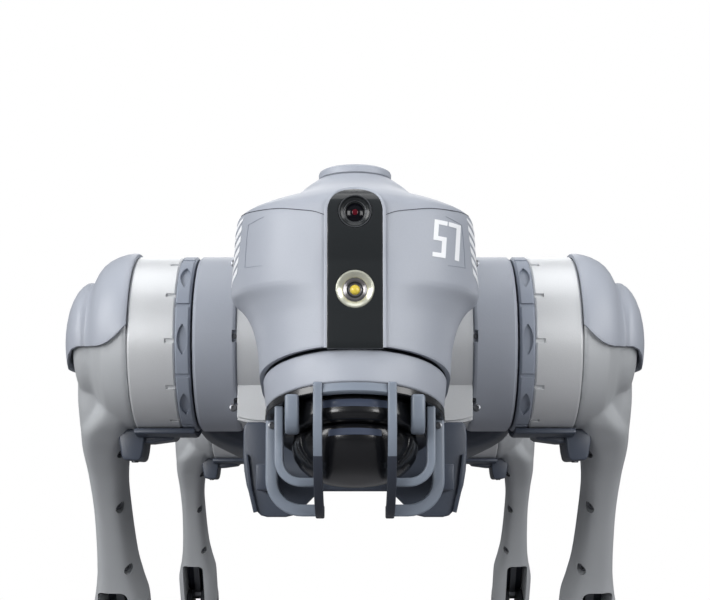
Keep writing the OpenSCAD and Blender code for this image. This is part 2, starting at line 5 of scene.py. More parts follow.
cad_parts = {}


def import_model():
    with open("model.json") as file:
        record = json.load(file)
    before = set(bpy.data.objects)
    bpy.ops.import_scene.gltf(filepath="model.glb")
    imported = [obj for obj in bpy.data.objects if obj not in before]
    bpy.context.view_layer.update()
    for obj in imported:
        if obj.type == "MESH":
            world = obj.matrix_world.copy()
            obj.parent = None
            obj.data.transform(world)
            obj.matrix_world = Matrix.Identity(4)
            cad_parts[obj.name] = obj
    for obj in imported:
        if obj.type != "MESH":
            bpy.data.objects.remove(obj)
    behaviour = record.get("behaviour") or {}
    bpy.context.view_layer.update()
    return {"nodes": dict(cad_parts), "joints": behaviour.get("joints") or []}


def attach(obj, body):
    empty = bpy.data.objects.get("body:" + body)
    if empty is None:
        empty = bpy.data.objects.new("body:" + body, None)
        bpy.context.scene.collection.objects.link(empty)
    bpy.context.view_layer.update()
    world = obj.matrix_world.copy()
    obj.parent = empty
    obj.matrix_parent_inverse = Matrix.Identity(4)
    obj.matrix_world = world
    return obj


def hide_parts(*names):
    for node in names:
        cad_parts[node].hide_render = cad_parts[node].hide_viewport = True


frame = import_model()
S = 0.001
J = {j["name"]: j for j in frame["joints"]}
H = J["fl_abduction"]["pos_m"][2] * 1000
HX = J["fl_abduction"]["pos_m"][0] * 1000
HY = J["fl_abduction"]["pos_m"][1] * 1000
LY = J["fl_thigh_swing"]["pos_m"][1] * 1000
kp = J["fl_knee"]["pos_m"]
TH = math.atan2(HX - kp[0] * 1000, H - kp[2] * 1000)          # thigh angle back from straight down
L1 = math.hypot(HX - kp[0] * 1000, H - kp[2] * 1000)
BEND = 2 * TH
LEGS = {"fl": (1, 1), "fr": (1, -1), "rl": (-1, 1), "rr": (-1, -1)}
scene = bpy.context.scene

# ------------------------------------------------------------------ materials
def srgb(r, g, b):
    f = lambda v: v / 12.92 if v <= 0.04045 else ((v + 0.055) / 1.055) ** 2.4
    return (f(r / 255), f(g / 255), f(b / 255), 1)

class M:
    """A principled material with fine surface variation in colour, roughness and bump."""
    def __init__(s, name, base, rough, metal=0.0, spec=0.5, coat=0.0, grain=900, bump=0.02, mottle=14, amount=0.05,
                 rough_var=0.06, edge=0.0004, wear=0.0, brushed=None, bump_dist=0.0004):
        s.m = bpy.data.materials.new(name)
        s.m.use_nodes = True
        s.t = s.m.node_tree
        s.n, s.l = s.t.nodes, s.t.links
        s.b = s.n["Principled BSDF"]
        s.b.inputs["Metallic"].default_value = metal
        s.b.inputs["Specular IOR Level"].default_value = spec
        s.b.inputs["Coat Weight"].default_value = coat
        s.b.inputs["Coat Roughness"].default_value = 0.06
        tc = s.n.new("ShaderNodeTexCoord")
        s.co = tc.outputs["Object"]
        big = s.noise(mottle, 4, 0.55)
        fine = s.noise(grain, 3, 0.6)
        ramp = s.n.new("ShaderNodeValToRGB")
        ramp.color_ramp.elements[0].position, ramp.color_ramp.elements[1].position = 0.3, 0.7
        ramp.color_ramp.elements[0].color = tuple(c * (1 - amount) for c in base[:3]) + (1,)
        ramp.color_ramp.elements[1].color = tuple(min(1, c * (1 + amount)) for c in base[:3]) + (1,)
        s.l.new(big, ramp.inputs[0])
        s.colour = ramp.outputs[0]
        mix = s.n.new("ShaderNodeMix"); mix.data_type = "RGBA"; mix.blend_type = "MULTIPLY"
        mix.inputs[0].default_value = 0.35
        fr = s.n.new("ShaderNodeValToRGB")
        fr.color_ramp.elements[0].color = (0.86, 0.86, 0.86, 1); fr.color_ramp.elements[1].color = (1.08, 1.08, 1.08, 1)
        s.l.new(fine, fr.inputs[0])
        s.l.new(s.colour, mix.inputs[6]); s.l.new(fr.outputs[0], mix.inputs[7])
        s.colour = mix.outputs[2]
        rr = s.n.new("ShaderNodeMapRange")
        rr.inputs[3].default_value, rr.inputs[4].default_value = rough - rough_var, rough + rough_var
        s.l.new(big, rr.inputs[0])
        s.rough = rr.outputs[0]
        s.height = fine
        s.bump_strength, s.bump_dist, s.edge = bump, bump_dist, edge
        if wear:
            geo = s.n.new("ShaderNodeNewGeometry")
            wr = s.n.new("ShaderNodeMapRange"); wr.clamp = True
            wr.inputs[1].default_value, wr.inputs[2].default_value, wr.inputs[4].default_value = 0.53, 0.62, wear
            s.l.new(geo.outputs["Pointiness"], wr.inputs[0])
            mw = s.n.new("ShaderNodeMix"); mw.data_type = "RGBA"
            s.l.new(wr.outputs[0], mw.inputs[0]); s.l.new(s.colour, mw.inputs[6])
            mw.inputs[7].default_value = tuple(min(1, c * 1.35 + 0.05) for c in base[:3]) + (1,)
            s.colour = mw.outputs[2]
        if brushed:
            mp = s.n.new("ShaderNodeMapping"); mp.inputs["Scale"].default_value = brushed
            s.l.new(s.co, mp.inputs[0])
            st = s.n.new("ShaderNodeTexNoise"); st.inputs["Scale"].default_value = 30; st.inputs["Detail"].default_value = 5
            s.l.new(mp.outputs[0], st.inputs["Vector"])
            ad = s.n.new("ShaderNodeMath"); ad.operation = "MULTIPLY_ADD"; ad.inputs[1].default_value = 0.12
            s.l.new(st.outputs[0], ad.inputs[0]); s.l.new(s.rough, ad.inputs[2]); s.rough = ad.outputs[0]
            s.height = st.outputs[0]

    def noise(s, scale, detail, rough):
        n = s.n.new("ShaderNodeTexNoise")
        n.inputs["Scale"].default_value, n.inputs["Detail"].default_value, n.inputs["Roughness"].default_value = scale, detail, rough
        s.l.new(s.co, n.inputs["Vector"])
        return n.outputs[0]

    def done(s):
        s.l.new(s.colour, s.b.inputs["Base Color"])
        s.l.new(s.rough, s.b.inputs["Roughness"])
        bp = s.n.new("ShaderNodeBump")
        bp.inputs["Strength"].default_value, bp.inputs["Distance"].default_value = s.bump_strength, s.bump_dist
        s.l.new(s.height, bp.inputs["Height"])
        if s.edge:
            bv = s.n.new("ShaderNodeBevel"); bv.samples = 4; bv.inputs["Radius"].default_value = s.edge
            s.l.new(bv.outputs[0], bp.inputs["Normal"])
        s.l.new(bp.outputs[0], s.b.inputs["Normal"])
        return s.m

GREY = M("shell_grey", srgb(160, 165, 175), 0.42, spec=0.45, grain=1400, bump=0.10, mottle=9, amount=0.025).done()
GREY_S = M("shell_grey_soft", srgb(160, 165, 175), 0.42, spec=0.45, grain=1400, bump=0.10, mottle=9, amount=0.025, edge=0).done()
GREY_D = M("shell_grey_dark", srgb(140, 147, 160), 0.45, spec=0.45, grain=1400, bump=0.10, mottle=9, amount=0.03).done()
SILVER = M("silver_casting", srgb(214, 216, 218), 0.38, metal=0.42, spec=0.5, grain=1500, bump=0.12, mottle=16, amount=0.02).done()
SILVER_S = M("silver_casting_soft", srgb(176, 179, 182), 0.46, metal=0.12, spec=0.5, grain=1500, bump=0.12, mottle=16, amount=0.02, edge=0).done()
MACHINED = M("machined_metal", srgb(176, 178, 182), 0.3, metal=1.0, grain=700, bump=0.08, mottle=30, amount=0.05, brushed=(1, 18, 1)).done()
STEEL = M("screw_steel", srgb(120, 122, 126), 0.3, metal=1.0, grain=1500, bump=0.05, mottle=60, amount=0.08, edge=0.0001).done()
SLATE = M("slate_trim", srgb(68, 75, 88), 0.38, spec=0.5, grain=1300, bump=0.12, mottle=12, amount=0.05).done()
SLATE_D = M("slate_dark", srgb(50, 55, 66), 0.42, spec=0.5, grain=1300, bump=0.12, mottle=12, amount=0.05).done()
BLACKG = M("gloss_black", srgb(31, 34, 36), 0.24, spec=0.4, coat=0.15, grain=500, bump=0.01, mottle=6, amount=0.1, rough_var=0.03, edge=0.0002).done()
SCANB = M("scanner_black", srgb(17, 18, 21), 0.24, spec=0.5, coat=0.3, grain=700, bump=0.02, mottle=8, amount=0.1, rough_var=0.04).done()
LEGB = M("leg_black", srgb(46, 48, 52), 0.48, spec=0.45, grain=1000, bump=0.2, mottle=20, amount=0.08, rough_var=0.08).done()
RUBBER = M("foot_rubber", srgb(30, 30, 32), 0.75, spec=0.3, grain=700, bump=0.5, mottle=25, amount=0.15, rough_var=0.1, edge=0).done()
CREAM = M("lamp_cup", srgb(206, 207, 192), 0.24, metal=0.55, spec=0.6, grain=900, bump=0.05, mottle=20, amount=0.03).done()
WHITE = M("mark_white", srgb(240, 242, 245), 0.5, grain=1800, bump=0.1, mottle=20, amount=0.02, edge=0).done()
BEZEL = M("bezel_light", srgb(196, 202, 214), 0.35, grain=1400, bump=0.08, mottle=20, amount=0.02, edge=0).done()
GUARD = M("guard_grey", srgb(122, 131, 144), 0.36, spec=0.5, grain=1300, bump=0.10, mottle=12, amount=0.04).done()
# painted shade: a slightly darker shell grey, drawn as thin lines where the head's shallow panel steps would fall into
# shade
STEP_SHADE = M("painted_step_shade", srgb(146, 152, 164), 0.5, grain=1400, bump=0.08, mottle=20, amount=0.02, edge=0).done()
SEAM = M("seam_dark", srgb(60, 64, 74), 0.6, grain=900, bump=0.1, mottle=20, amount=0.1, edge=0).done()
def flat(name, c, rough, emit=0.0, metal=0.0):
    k = M(name, c, rough, metal=metal, grain=900, bump=0.03, mottle=40, amount=0.06, rough_var=0.03, edge=0)
    if emit:
        k.b.inputs["Emission Color"].default_value = c; k.b.inputs["Emission Strength"].default_value = emit
    return k.done()
LENS_RED = flat("lens_pupil", srgb(84, 16, 28), 0.08)
LENS_RING = flat("lens_ring", srgb(84, 86, 90), 0.3, metal=0.4)
LENS_GLASS = flat("lens_glass", srgb(14, 14, 20), 0.12)
for k_ in (LENS_GLASS, LENS_RED): k_.node_tree.nodes["Principled BSDF"].inputs["Specular IOR Level"].default_value = 0.25
LED = flat("led_dome", srgb(206, 184, 74), 0.14, emit=0.12)
LAMP_MID = flat("lamp_mid", srgb(122, 120, 122), 0.22, metal=0.7)
GLOW = flat("scanner_window", srgb(70, 78, 96), 0.12)

# ------------------------------------------------------------------ mesh helpers
def obj(name, verts, faces, material, angle=32):
    me = bpy.data.meshes.new(name)
    me.from_pydata([tuple(c * S for c in v) for v in verts], [], faces)
    bm = bmesh.new(); bm.from_mesh(me)
    bmesh.ops.remove_doubles(bm, verts=bm.verts, dist=1e-6)
    bmesh.ops.dissolve_degenerate(bm, dist=1e-7, edges=bm.edges)
    bmesh.ops.recalc_face_normals(bm, faces=bm.faces)
    bm.to_mesh(me); bm.free()
    o = bpy.data.objects.new(name, me)
    scene.collection.objects.link(o)
    me.materials.append(material)
    smooth(o, angle)
    return o

def smooth(o, angle=32):
    o.data.shade_smooth()
    o.data.set_sharp_from_angle(angle=math.radians(angle))

def bake(o):
    bpy.context.view_layer.update()
    dg = bpy.context.evaluated_depsgraph_get()
    me = bpy.data.meshes.new_from_object(o.evaluated_get(dg))
    o.modifiers.clear()
    old = o.data
    o.data = me
    me.name = o.name
    if old.users == 0:
        bpy.data.meshes.remove(old)
    return o

def cut(o, cutter, op="DIFFERENCE", angle=32):
    m = o.modifiers.new("b", "BOOLEAN"); m.operation = op; m.solver = "EXACT"; m.object = cutter
    bake(o)
    bpy.data.objects.remove(cutter)
    smooth(o, angle)
    return o

def bevel(o, width, seg=3, angle=35):
    m = o.modifiers.new("bev", "BEVEL"); m.width = width * S; m.segments = seg
    m.limit_method = "ANGLE"; m.angle_limit = math.radians(angle); m.use_clamp_overlap = True
    bake(o)
    smooth(o, 50)
    return o

def join(name, objs, material=None):
    bm = bmesh.new()
    for o in objs:
        bm.from_mesh(o.data)
    me = bpy.data.meshes.new(name)
    bm.to_mesh(me); bm.free()
    n = bpy.data.objects.new(name, me); scene.collection.objects.link(n)
    me.materials.append(material or objs[0].data.materials[0])
    for p in me.polygons:
        p.material_index = 0
    for o in objs:
        bpy.data.objects.remove(o)
    smooth(n, 40)
    return n

def copy(o, name, fn, flip):
    me = o.data.copy()
    for v in me.vertices:
        v.co = fn(v.co)
    if flip:
        me.flip_normals()
    n = bpy.data.objects.new(name, me); scene.collection.objects.link(n)
    me.name = name
    return n

def rings(rs, cap0=True, cap1=True, closed=True):
    """Faces through a list of rings of equal length."""
    n = len(rs[0]); v = [p for r in rs for p in r]; f = []
    for i in range(len(rs) - 1):
        for j in range(n if closed else n - 1):
            k = (j + 1) % n
            f.append((i*n+j, i*n+k, (i+1)*n+k, (i+1)*n+j))
    if cap0: f.append(tuple(range(n - 1, -1, -1)))
    if cap1: f.append(tuple((len(rs)-1)*n + j for j in range(n)))
    return v, f

def prism(name, outline, plane, a, b, material, bev=0.0, seg=3):
    """outline in a plane: 'x' gives (y,z) swept along x from a to b; 'y' gives (x,z); 'z' gives (x,y)."""
    mk = {"x": lambda p, t: (t, p[0], p[1]), "y": lambda p, t: (p[0], t, p[1]), "z": lambda p, t: (p[0], p[1], t)}[plane]
    v, f = rings([[mk(p, a) for p in outline], [mk(p, b) for p in outline]])
    o = obj(name, v, f, material)
    return bevel(o, bev, seg) if bev else o

def turned(name, profile, material, n=96, place=None, bev=0.0, angle=32, hollow=False):
    """Solid of revolution about Y from profile points (y, r); hollow closes the profile on itself."""
    place = place or (lambda p: p)
    rs = [[place((r*math.cos(2*math.pi*j/n), y, r*math.sin(2*math.pi*j/n))) for j in range(n)] for y, r in profile]
    if hollow: rs.append(list(rs[0]))
    v, f = rings(rs, cap0=not hollow and profile[0][1] > 0, cap1=not hollow and profile[-1][1] > 0)
    o = obj(name, v, f, material, angle)
    return bevel(o, bev) if bev else o

def interp(rows, x, c):
    """Smooth monotone cubic reading of column c at x (column 0)."""
    n = len(rows)
    if x <= rows[0][0]: return rows[0][c]
    if x >= rows[-1][0]: return rows[-1][c]
    i = max(k for k in range(n - 1) if rows[k][0] <= x)
    def slope(k):
        if k <= 0: return (rows[1][c]-rows[0][c])/(rows[1][0]-rows[0][0])
        if k >= n-1: return (rows[-1][c]-rows[-2][c])/(rows[-1][0]-rows[-2][0])
        a = (rows[k][c]-rows[k-1][c])/(rows[k][0]-rows[k-1][0]); b = (rows[k+1][c]-rows[k][c])/(rows[k+1][0]-rows[k][0])
        return 0 if a*b <= 0 else 2*a*b/(a+b)
    h = rows[i+1][0]-rows[i][0]; t = (x-rows[i][0])/h
    p0, p1, m0, m1 = rows[i][c], rows[i+1][c], slope(i)*h, slope(i+1)*h
    return (2*t**3-3*t**2+1)*p0 + (t**3-2*t**2+t)*m0 + (-2*t**3+3*t**2)*p1 + (t**3-t**2)*m1

def spow(v, e): return math.copysign(abs(v)**e, v)
def rot_y(p, a):
    c, s = math.cos(a), math.sin(a)
    return (p[0]*c + p[2]*s, p[1], -p[0]*s + p[2]*c)
def thigh_pt(p): return rot_y(p, TH)
def shank_pt(p): 
    q = rot_y(p, -BEND)
    return rot_y((q[0], q[1], q[2] - L1), TH)
def leg_pt(p, f=1, s=1): return (f*HX + p[0], s*p[1], H + p[2])

def four(o, part, body, replaces=None, mirror_x=False):
    """Copies a piece modelled in the left front leg's own frame onto all four legs."""
    made = []
    for leg, (f, s) in LEGS.items():
        mx = -1 if (mirror_x and f < 0) else 1
        n = copy(o, f"{leg}_{part}", lambda c: Vector((f*HX*S + mx*c.x, s*c.y, H*S + c.z)), s*mx < 0)
        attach(n, f"{leg}_{body}")
        if replaces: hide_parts(f"{leg}_{replaces}")
        made.append(n)
    bpy.data.objects.remove(o)
    return made

def put(o, body="trunk", replaces=None):
    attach(o, body)
    if replaces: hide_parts(replaces)
    return o

# ------------------------------------------------------------------ CAD nodes that keep their shape
CAD_MATS = {"hip_bracket": SILVER, "hip_cover": GREY, "shoulder_ring": GREY_D, "knee_motor": SILVER, "thigh_cap": GREY,
            "cable_guard": SLATE, "knee_crank": MACHINED, "push_rod": STEEL, "foot": RUBBER, "chassis": SLATE_D, "hip_motors": MACHINED,
            "battery": SLATE, "power_button": GREY, "antenna_cap": GREY, "camera_lens": BLACKG, "headlamp": CREAM,
            "lidar_collar": GREY, "lidar_base": SCANB, "lidar_rotor": SCANB, "face_panel": BLACKG, "lidar_guard": SLATE,
            "top_shell": GREY, "belly_pan": SLATE, "rear_cap": GREY, "head_shell": GREY, "thigh": SILVER, "shank": LEGB}
for node, o in frame["nodes"].items():
    key = node[3:] if node[:2] in LEGS and node[2] == "_" else node
    o.data.materials.clear()
    o.data.materials.append(CAD_MATS[key])

# ------------------------------------------------------------------ thighs
THIGH = [[12, 117.2, 129, 38, 38], [26, 117.5, 140, 37, 34], [40, 119.6, 149.4, 32, 30], [56, 125.2, 150.6, 25.4, 24],
         [75, 128.8, 149.8, 20, 20], [97.7, 131, 149.3, 17.3, 17.3], [120, 130.6, 150, 16.7, 16.7], [145, 129.4, 151.7, 16.8, 16.8],
         [162, 127, 154.3, 17.6, 17.8], [176, 124.6, 156.9, 18.5, 18.5], [195, 124.6, 156.9, 18.9, 18.9], [L1, 124.6, 156.9, 18.9, 18.9]]
def limb_ring(rows, d, e, n, out):
    y0, y1, xf, xr = (interp(rows, d, c) for c in (1, 2, 3, 4))
    r = []
    for j in range(n):
        t = 2*math.pi*j/n
        c, s = spow(math.cos(t), e), spow(math.sin(t), e)
        r.append(out((c*xf if c > 0 else c*xr, (y0+y1)/2 + s*(y1-y0)/2, -d)))
    return r
def same(p): return p
v, f = rings([limb_ring(THIGH, 12 + (L1-12)*i/60, 0.56, 48, same) for i in range(61)])
beam = obj("beam", v, f, SILVER_S)
END = [(115.7, 0), (115.7, 45.6), (116.3, 46.2), (118, 46.2), (124, 44.6), (129.8, 42.0), (134.2, 36.3), (137.6, 31), (140.2, 30.1), (144, 28.6), (147, 24.8), (149.6, 16), (150.2, 0)]
end = turned("end", END, SILVER_S)
knee = turned("knee", [(125.4, 0), (125.4, 17.6), (126.6, 18.9), (154.8, 18.9), (156, 17.6), (156, 0)], SILVER_S, n=64, place=lambda p: (p[0], p[1], p[2]-L1))
FILL = [[2, 118, 148.0, 14, 12], [10, 118, 149.2, 22, 15], [18, 118.2, 149.8, 27, 18], [28, 119, 150.4, 29, 22], [40, 120, 150.6, 29, 25], [56, 124, 150.6, 24, 23], [74, 128.8, 149.8, 18, 18]]
v, f = rings([limb_ring(FILL, 2 + 72*i/24, 0.66, 40, same) for i in range(25)])
fill = obj("fill", v, f, SILVER_S)
thigh = join("thigh_all", [beam, end, knee, fill], SILVER_S)
m = thigh.modifiers.new("r", "REMESH"); m.mode = "VOXEL"; m.voxel_size = 0.0013
m = thigh.modifiers.new("s", "SMOOTH"); m.factor = 0.5; m.iterations = 5
bake(thigh)
def block(a, b, mat=SLATE_D):
    return prism("block", [(a[1], a[2]), (b[1], a[2]), (b[1], b[2]), (a[1], b[2])], "x", a[0], b[0], mat)
def rblock(y0, y1, z0, z1, r, x0, x1, mat=SLATE_D, n=6):
    pts = []
    for cy, cz, a0 in ((y1-r, z1-r, 0), (y0+r, z1-r, 90), (y0+r, z0+r, 180), (y1-r, z0+r, 270)):
        pts += [(cy + r*math.cos(math.radians(a0+90*k/n)), cz + r*math.sin(math.radians(a0+90*k/n))) for k in range(n+1)]
    return prism("rblock", pts, "x", x0, x1, mat)
cut(thigh, rblock(133.8, 151.8, -L1-60, -L1+57, 4.5, -16.3, 60))
cut(thigh, block((-60, 133.8, -L1-60), (1, 151.8, -L1+6)))
seats = []
def corner(d):
    y0, y1, xf = (interp(THIGH, d, c) for c in (1, 2, 3))
    return (0.80*xf, (y0+y1)/2 - 0.80*(y1-y0)/2, -d)
def peg(p, n, r, h0, h1, mat=SLATE_D, k=28):
    q = Vector((0, 0, 1)).rotation_difference(Vector(n).normalized())
    v, f = rings([[tuple(q @ Vector((r*math.cos(2*math.pi*j/k), r*math.sin(2*math.pi*j/k), h)) + Vector(p)) for j in range(k)] for h in (h0, h1)])
    return obj("peg", v, f, mat)
SEAT_D = (56, 97, 141)
for d in SEAT_D: seats.append(peg(corner(d), (0.8, -0.6, 0.0), 3.5, -3.6, 12))
for y0, y1, r in ((120, 126.8, 8.4), (154.6, 162, 8.4)):
    seats.append(turned("seat", [(y0, 0), (y0, r), (y1, r), (y1, 0)], SLATE_D, n=40, place=lambda p: (p[0], p[1], p[2]-L1)))
cut(thigh, join("seats", seats))
thigh.data.materials.clear(); thigh.data.materials.append(SILVER_S)
for p in thigh.data.polygons: p.material_index = 0
smooth(thigh, 38)
for v_ in thigh.data.vertices: v_.co = Vector(thigh_pt(v_.co))
# slate lining inside the knee slot
lining = rblock(134.0, 151.6, -L1+7, -L1+56.7, 4.4, -16.0, -13.5, SLATE_D)
for v_ in lining.data.vertices: v_.co = Vector(thigh_pt(v_.co))
four(lining, "slot_lining", "thigh")
four(thigh, "thigh_casting", "thigh", "thigh")

# ------------------------------------------------------------------ screws
def screw(pos, axis, r=2.6, depth=1.2, mat=STEEL):
    """A socket-head screw: round head with a six-sided socket."""
    n = 30
    pro = [(0, -depth), (r, -depth), (r, depth*0.45), (r*0.86, depth*0.62), (r*0.52, depth*0.62)]
    rs = [[(rr*math.cos(2*math.pi*j/n), rr*math.sin(2*math.pi*j/n), z) for j in range(n)] for rr, z in pro[1:]]
    hexr = [(r*0.52*math.cos(math.pi/3*round(6*j/n)), r*0.52*math.sin(math.pi/3*round(6*j/n)), depth*0.62) for j in range(n)]
    low = [(x, y, -depth*0.2) for x, y, z in hexr]
    v, f = rings(rs[:-1] + [hexr, low], True, True)
    q = Vector((0, 0, 1)).rotation_difference(Vector(axis).normalized())
    return obj("screw", [tuple(q @ Vector(p) + Vector(pos)) for p in v], f, mat, 30)
def screws(items, mat=STEEL):
    return join("screws", [screw(p, a, *rest, mat=mat) for p, a, *rest in items], mat)
def tdir(d): return rot_y(d, TH)
it = []
for d in SEAT_D:
    c_ = corner(d); it.append((thigh_pt((c_[0]-0.8*2.9, c_[1]+0.6*2.9, c_[2])), rot_y((0.8, -0.6, 0.0), TH), 2.7, 1.2))
it += [(thigh_pt((0, 126.0, -L1)), (0, -1, 0), 7.2, 1.6), (thigh_pt((0, 155.3, -L1)), (0, 1, 0), 7.2, 1.6)]
four(screws(it), "thigh_screws", "thigh")

# ------------------------------------------------------------------ thigh caps
CAP = [(115.7, 48.5), (116.2, 48.9), (118.4, 48.9), (122, 48.3), (126, 47.0), (130, 45.0), (133, 42.7), (135.2, 40.0), (136.9, 37.0), (138.1, 34.6), (139.0, 33.3), (140.0, 32.9),
       (141.2, 33.2), (143.0, 32.9), (145.4, 31.3), (147.6, 28.9), (149.4, 26.0), (151.2, 22.0), (152.6, 17.4), (153.7, 12.6), (154.4, 7.4), (154.8, 0)]
INN = [(152.9, 0), (152.2, 9.4), (150.6, 16.4), (147.7, 25.2), (144.4, 29.0), (140.4, 30.5), (137.9, 31.5), (134.5, 36.9), (130.1, 42.4), (125, 45.2), (118.2, 46.6), (115.7, 46.6)]
cap = turned("cap", CAP + INN, GREY_S, n=128, hollow=True)
edge = [(114, 5.5), (116.5, 3.4), (119, 0.6), (122, -2.2), (125, -4.4), (128.5, -5.8), (132, -6.2), (136, -5.6), (140, -5.0), (144, -5.1), (147.5, -6.2), (150, -8.6), (151.6, -11.6), (152.4, -14.4), (157, -14.4)]
cut(cap, prism("low", edge + [(157, -60), (114, -60)], "x", -60, 60, GREY_S), angle=50)
bevel(cap, 0.55, 3, 40)
four(cap, "cap_shell", "thigh", "thigh_cap")

# ------------------------------------------------------------------ cable guards under the knee motors
def arc(r0, r1, a0, a1, n=28):
    o = [(r1*math.sin(math.radians(a0+(a1-a0)*k/n)), -r1*math.cos(math.radians(a0+(a1-a0)*k/n))) for k in range(n+1)]
    return o + [(r0*math.sin(math.radians(a1-(a1-a0)*k/n)), -r0*math.cos(math.radians(a1-(a1-a0)*k/n))) for k in range(n+1)]
strap = prism("strap", arc(47.5, 50.4, -40, 15), "y", 84.4, 116.6, SLATE, 0.7)
lump = prism("lump", [(112.6, -46), (126.5, -46), (126.0, -53), (124.6, -60.4), (123.2, -62.4), (115.6, -62.8), (114.2, -61.6), (113.4, -57.6), (112.8, -52)], "x", -23, 3, SLATE, 1.1, 3)
rib_ = prism("rib", [(96, -49.6), (114, -49.6), (114, -53.2), (110, -53.2), (98, -51.6)], "x", -20, 0, SLATE, 0.6)
guard = join("cable_cover", [strap, lump, rib_], SLATE)
smooth(guard, 50)
four(guard, "cable_cover", "thigh", "cable_guard")
four(screws([((-10, 119.4, -62.8), (0, 0, -1), 1.9, 0.9), ((-2, 105, -50.9), (0, 0, -1), 2.0, 0.9)]), "cable_screws", "thigh")

# ------------------------------------------------------------------ shanks
SHANK = [[12, 134.7, 150.9, 4, 16], [18, 134.7, 150.9, 0.6, 18.6], [28, 134.8, 150.8, -1.6, 20.2], [50, 135.2, 150.4, -1.6, 20.4], [80, 135.8, 149.8, -0.6, 18.0],
         [110, 136.2, 149.4, 1.6, 14.2], [140, 136.2, 149.4, 4, 10.4], [168, 136, 149.6, 6.2, 8.0], [188, 135.2, 150.4, 8.4, 8.8], [197, 134.7, 150.9, 9.5, 9.5]]
def shank_ring(d, n, grow=0.0):
    y0, y1, xf, xr = (interp(SHANK, d, c) for c in (1, 2, 3, 4))
    xc, a = (xf-xr)/2, (xf+xr)/2 + grow
    return [(xc + a*spow(math.cos(2*math.pi*j/n), 0.62), (y0+y1)/2 + ((y1-y0)/2 + grow)*spow(math.sin(2*math.pi*j/n), 0.62), -d) for j in range(n)]
v, f = rings([shank_ring(12 + 185*i/50, 40) for i in range(51)])
pieces = [obj("s0", v, f, LEGB)]
for y0, y1 in ((134.4, 139.2), (146.4, 151.2)):
    pieces.append(turned("disc", [(y0, 0), (y0, 14.4), (y0+0.8, 15.3), (y1-0.8, 15.3), (y1, 14.4), (y1, 0)], LEGB, n=64))
pieces.append(turned("pin", [(127, 0), (127, 4.5), (154.4, 4.5), (154.4, 0)], LEGB, n=32))
pieces.append(turned("pin2", [(138.9, 0), (138.9, 2.15), (146.7, 2.15), (146.7, 0)], LEGB, n=20, place=lambda p: (p[0]+4.3, p[1], p[2]+10.13)))
sh = join("shank_body", pieces, LEGB)
for v_ in sh.data.vertices: v_.co = Vector(shank_pt([c*1000 for c in v_.co])) * S
four(sh, "shank_body", "shank", "shank")
# ankle boot: rubber sleeve with ribs above the ball
rib = [(176, 0.0), (177, 1.0), (180, 1.2), (181, 0.5), (183, 0.5), (184, 1.3), (187, 1.4), (188, 0.6), (190, 0.6), (191, 1.5), (196.5, 1.6)]
v, f = rings([shank_ring(min(d, 196.9), 40, g + 0.05) for d, g in rib])
bt = obj("boot", v, f, RUBBER)
for v_ in bt.data.vertices: v_.co = Vector(shank_pt([c*1000 for c in v_.co])) * S
four(bt, "ankle_boot", "shank")

# ------------------------------------------------------------------ trunk shells
def arch_row(x, w, zt, zb, n, e=0.5):
    return [(x, w*spow(math.cos(math.pi*(n-j)/n), e), H + zb + (zt-zb)*abs(math.sin(math.pi*j/n))**e) for j in range(n+1)]
def trunk_rows(top, nw, nz, ze, main_z):
    r = []
    for x, w, zt, zb in [(-243.4, nw, top, nz), (-200, nw, top, nz), (-160, nw, top, nz), (-150, nw, top, nz), (-145.6, nw, top, nz), (-144.3, nw+1.5, top, nz-1),
                         (-143.0, 56, main_z*0.9, nz-30), (-142.2, 80, main_z*0.92, ze+6), (-141.6, 86.2, main_z*0.935, ze),
                         (-139.4, 90.4, main_z*0.955, ze), (-136, 92.8, main_z*0.970, ze), (-130, 94.8, main_z*0.982, ze), (-120, 96.6, main_z*0.992, ze),
                         (-105, 97.6, main_z*0.999, ze), (-85, 98, main_z, ze), (-61.6, 98, main_z, ze), (-30, 98, main_z, ze), (0, 98, main_z, ze)]:
        r.append((x, w, zt, zb))
    return r + [(-x, w, zt, zb) for x, w, zt, zb in r[-2::-1]]
def trunk_shell(name, rows, mat, sgn):
    n = 64
    rs = [arch_row(x, w, zt, zb, n) for x, w, zt, zb in rows]
    if sgn < 0: rs = [[(p[0], p[1], 2*H - p[2]) for p in r] for r in rs]
    v, f = rings(rs, False, False, closed=False)
    o = obj(name, v, f, mat, 40)
    bm = bmesh.new(); bm.from_mesh(o.data); bmesh.ops.recalc_face_normals(bm, faces=bm.faces)
    up = sum((fc.normal.z*fc.calc_area() for fc in bm.faces)) * sgn
    if up < 0: bmesh.ops.reverse_faces(bm, faces=bm.faces)
    bm.to_mesh(o.data); bm.free()
    m = o.modifiers.new("sol", "SOLIDIFY"); m.thickness = 0.0023; m.offset = -1; m.use_even_offset = False
    bake(o)
    return o
top = trunk_shell("top", trunk_rows(62, 25.4, 50.6, -11.9, 60), GREY_S, 1)
cut(top, block((-60.9, 80, H-39), (60.9, 110, H+39)), angle=40)
cut(top, prism("well", [(x, y) for x, y in ((-57, -42), (57, -42), (66, -33), (66, 33), (57, 42), (-57, 42), (-66, 33), (-66, -33))], "z", H+59.6, H+70, GREY_S), angle=40)
bevel(top, 0.5, 2, 50)
put(top, "trunk", "top_shell")
b = 5
plate = prism("plate", [(-62, -36), (-58, -37.8), (58, -37.8), (62, -36), (64, -32), (64, 32), (62, 36), (58, 37.8), (-58, 37.8), (-62, 36), (-64, 32), (-64, -32)], "z", H+57.5, H+63.45, GREY_S)
cutters = [prism("hole", [(sx*50 + 2*math.cos(a*math.pi/12), sy*30 + 2*math.sin(a*math.pi/12)) for a in range(24)], "z", H+50, H+70, SLATE_D) for sx in (-1, 1) for sy in (-1, 1)]
cutters += [prism("vent", [(x-2, -17), (x-1.2, -18), (x+1.2, -18), (x+2, -17), (x+2, 17), (x+1.2, 18), (x-1.2, 18), (x-2, 17)], "z", H+61.5, H+70, SLATE_D) for x in (-20, -10, 0, 10, 20)]
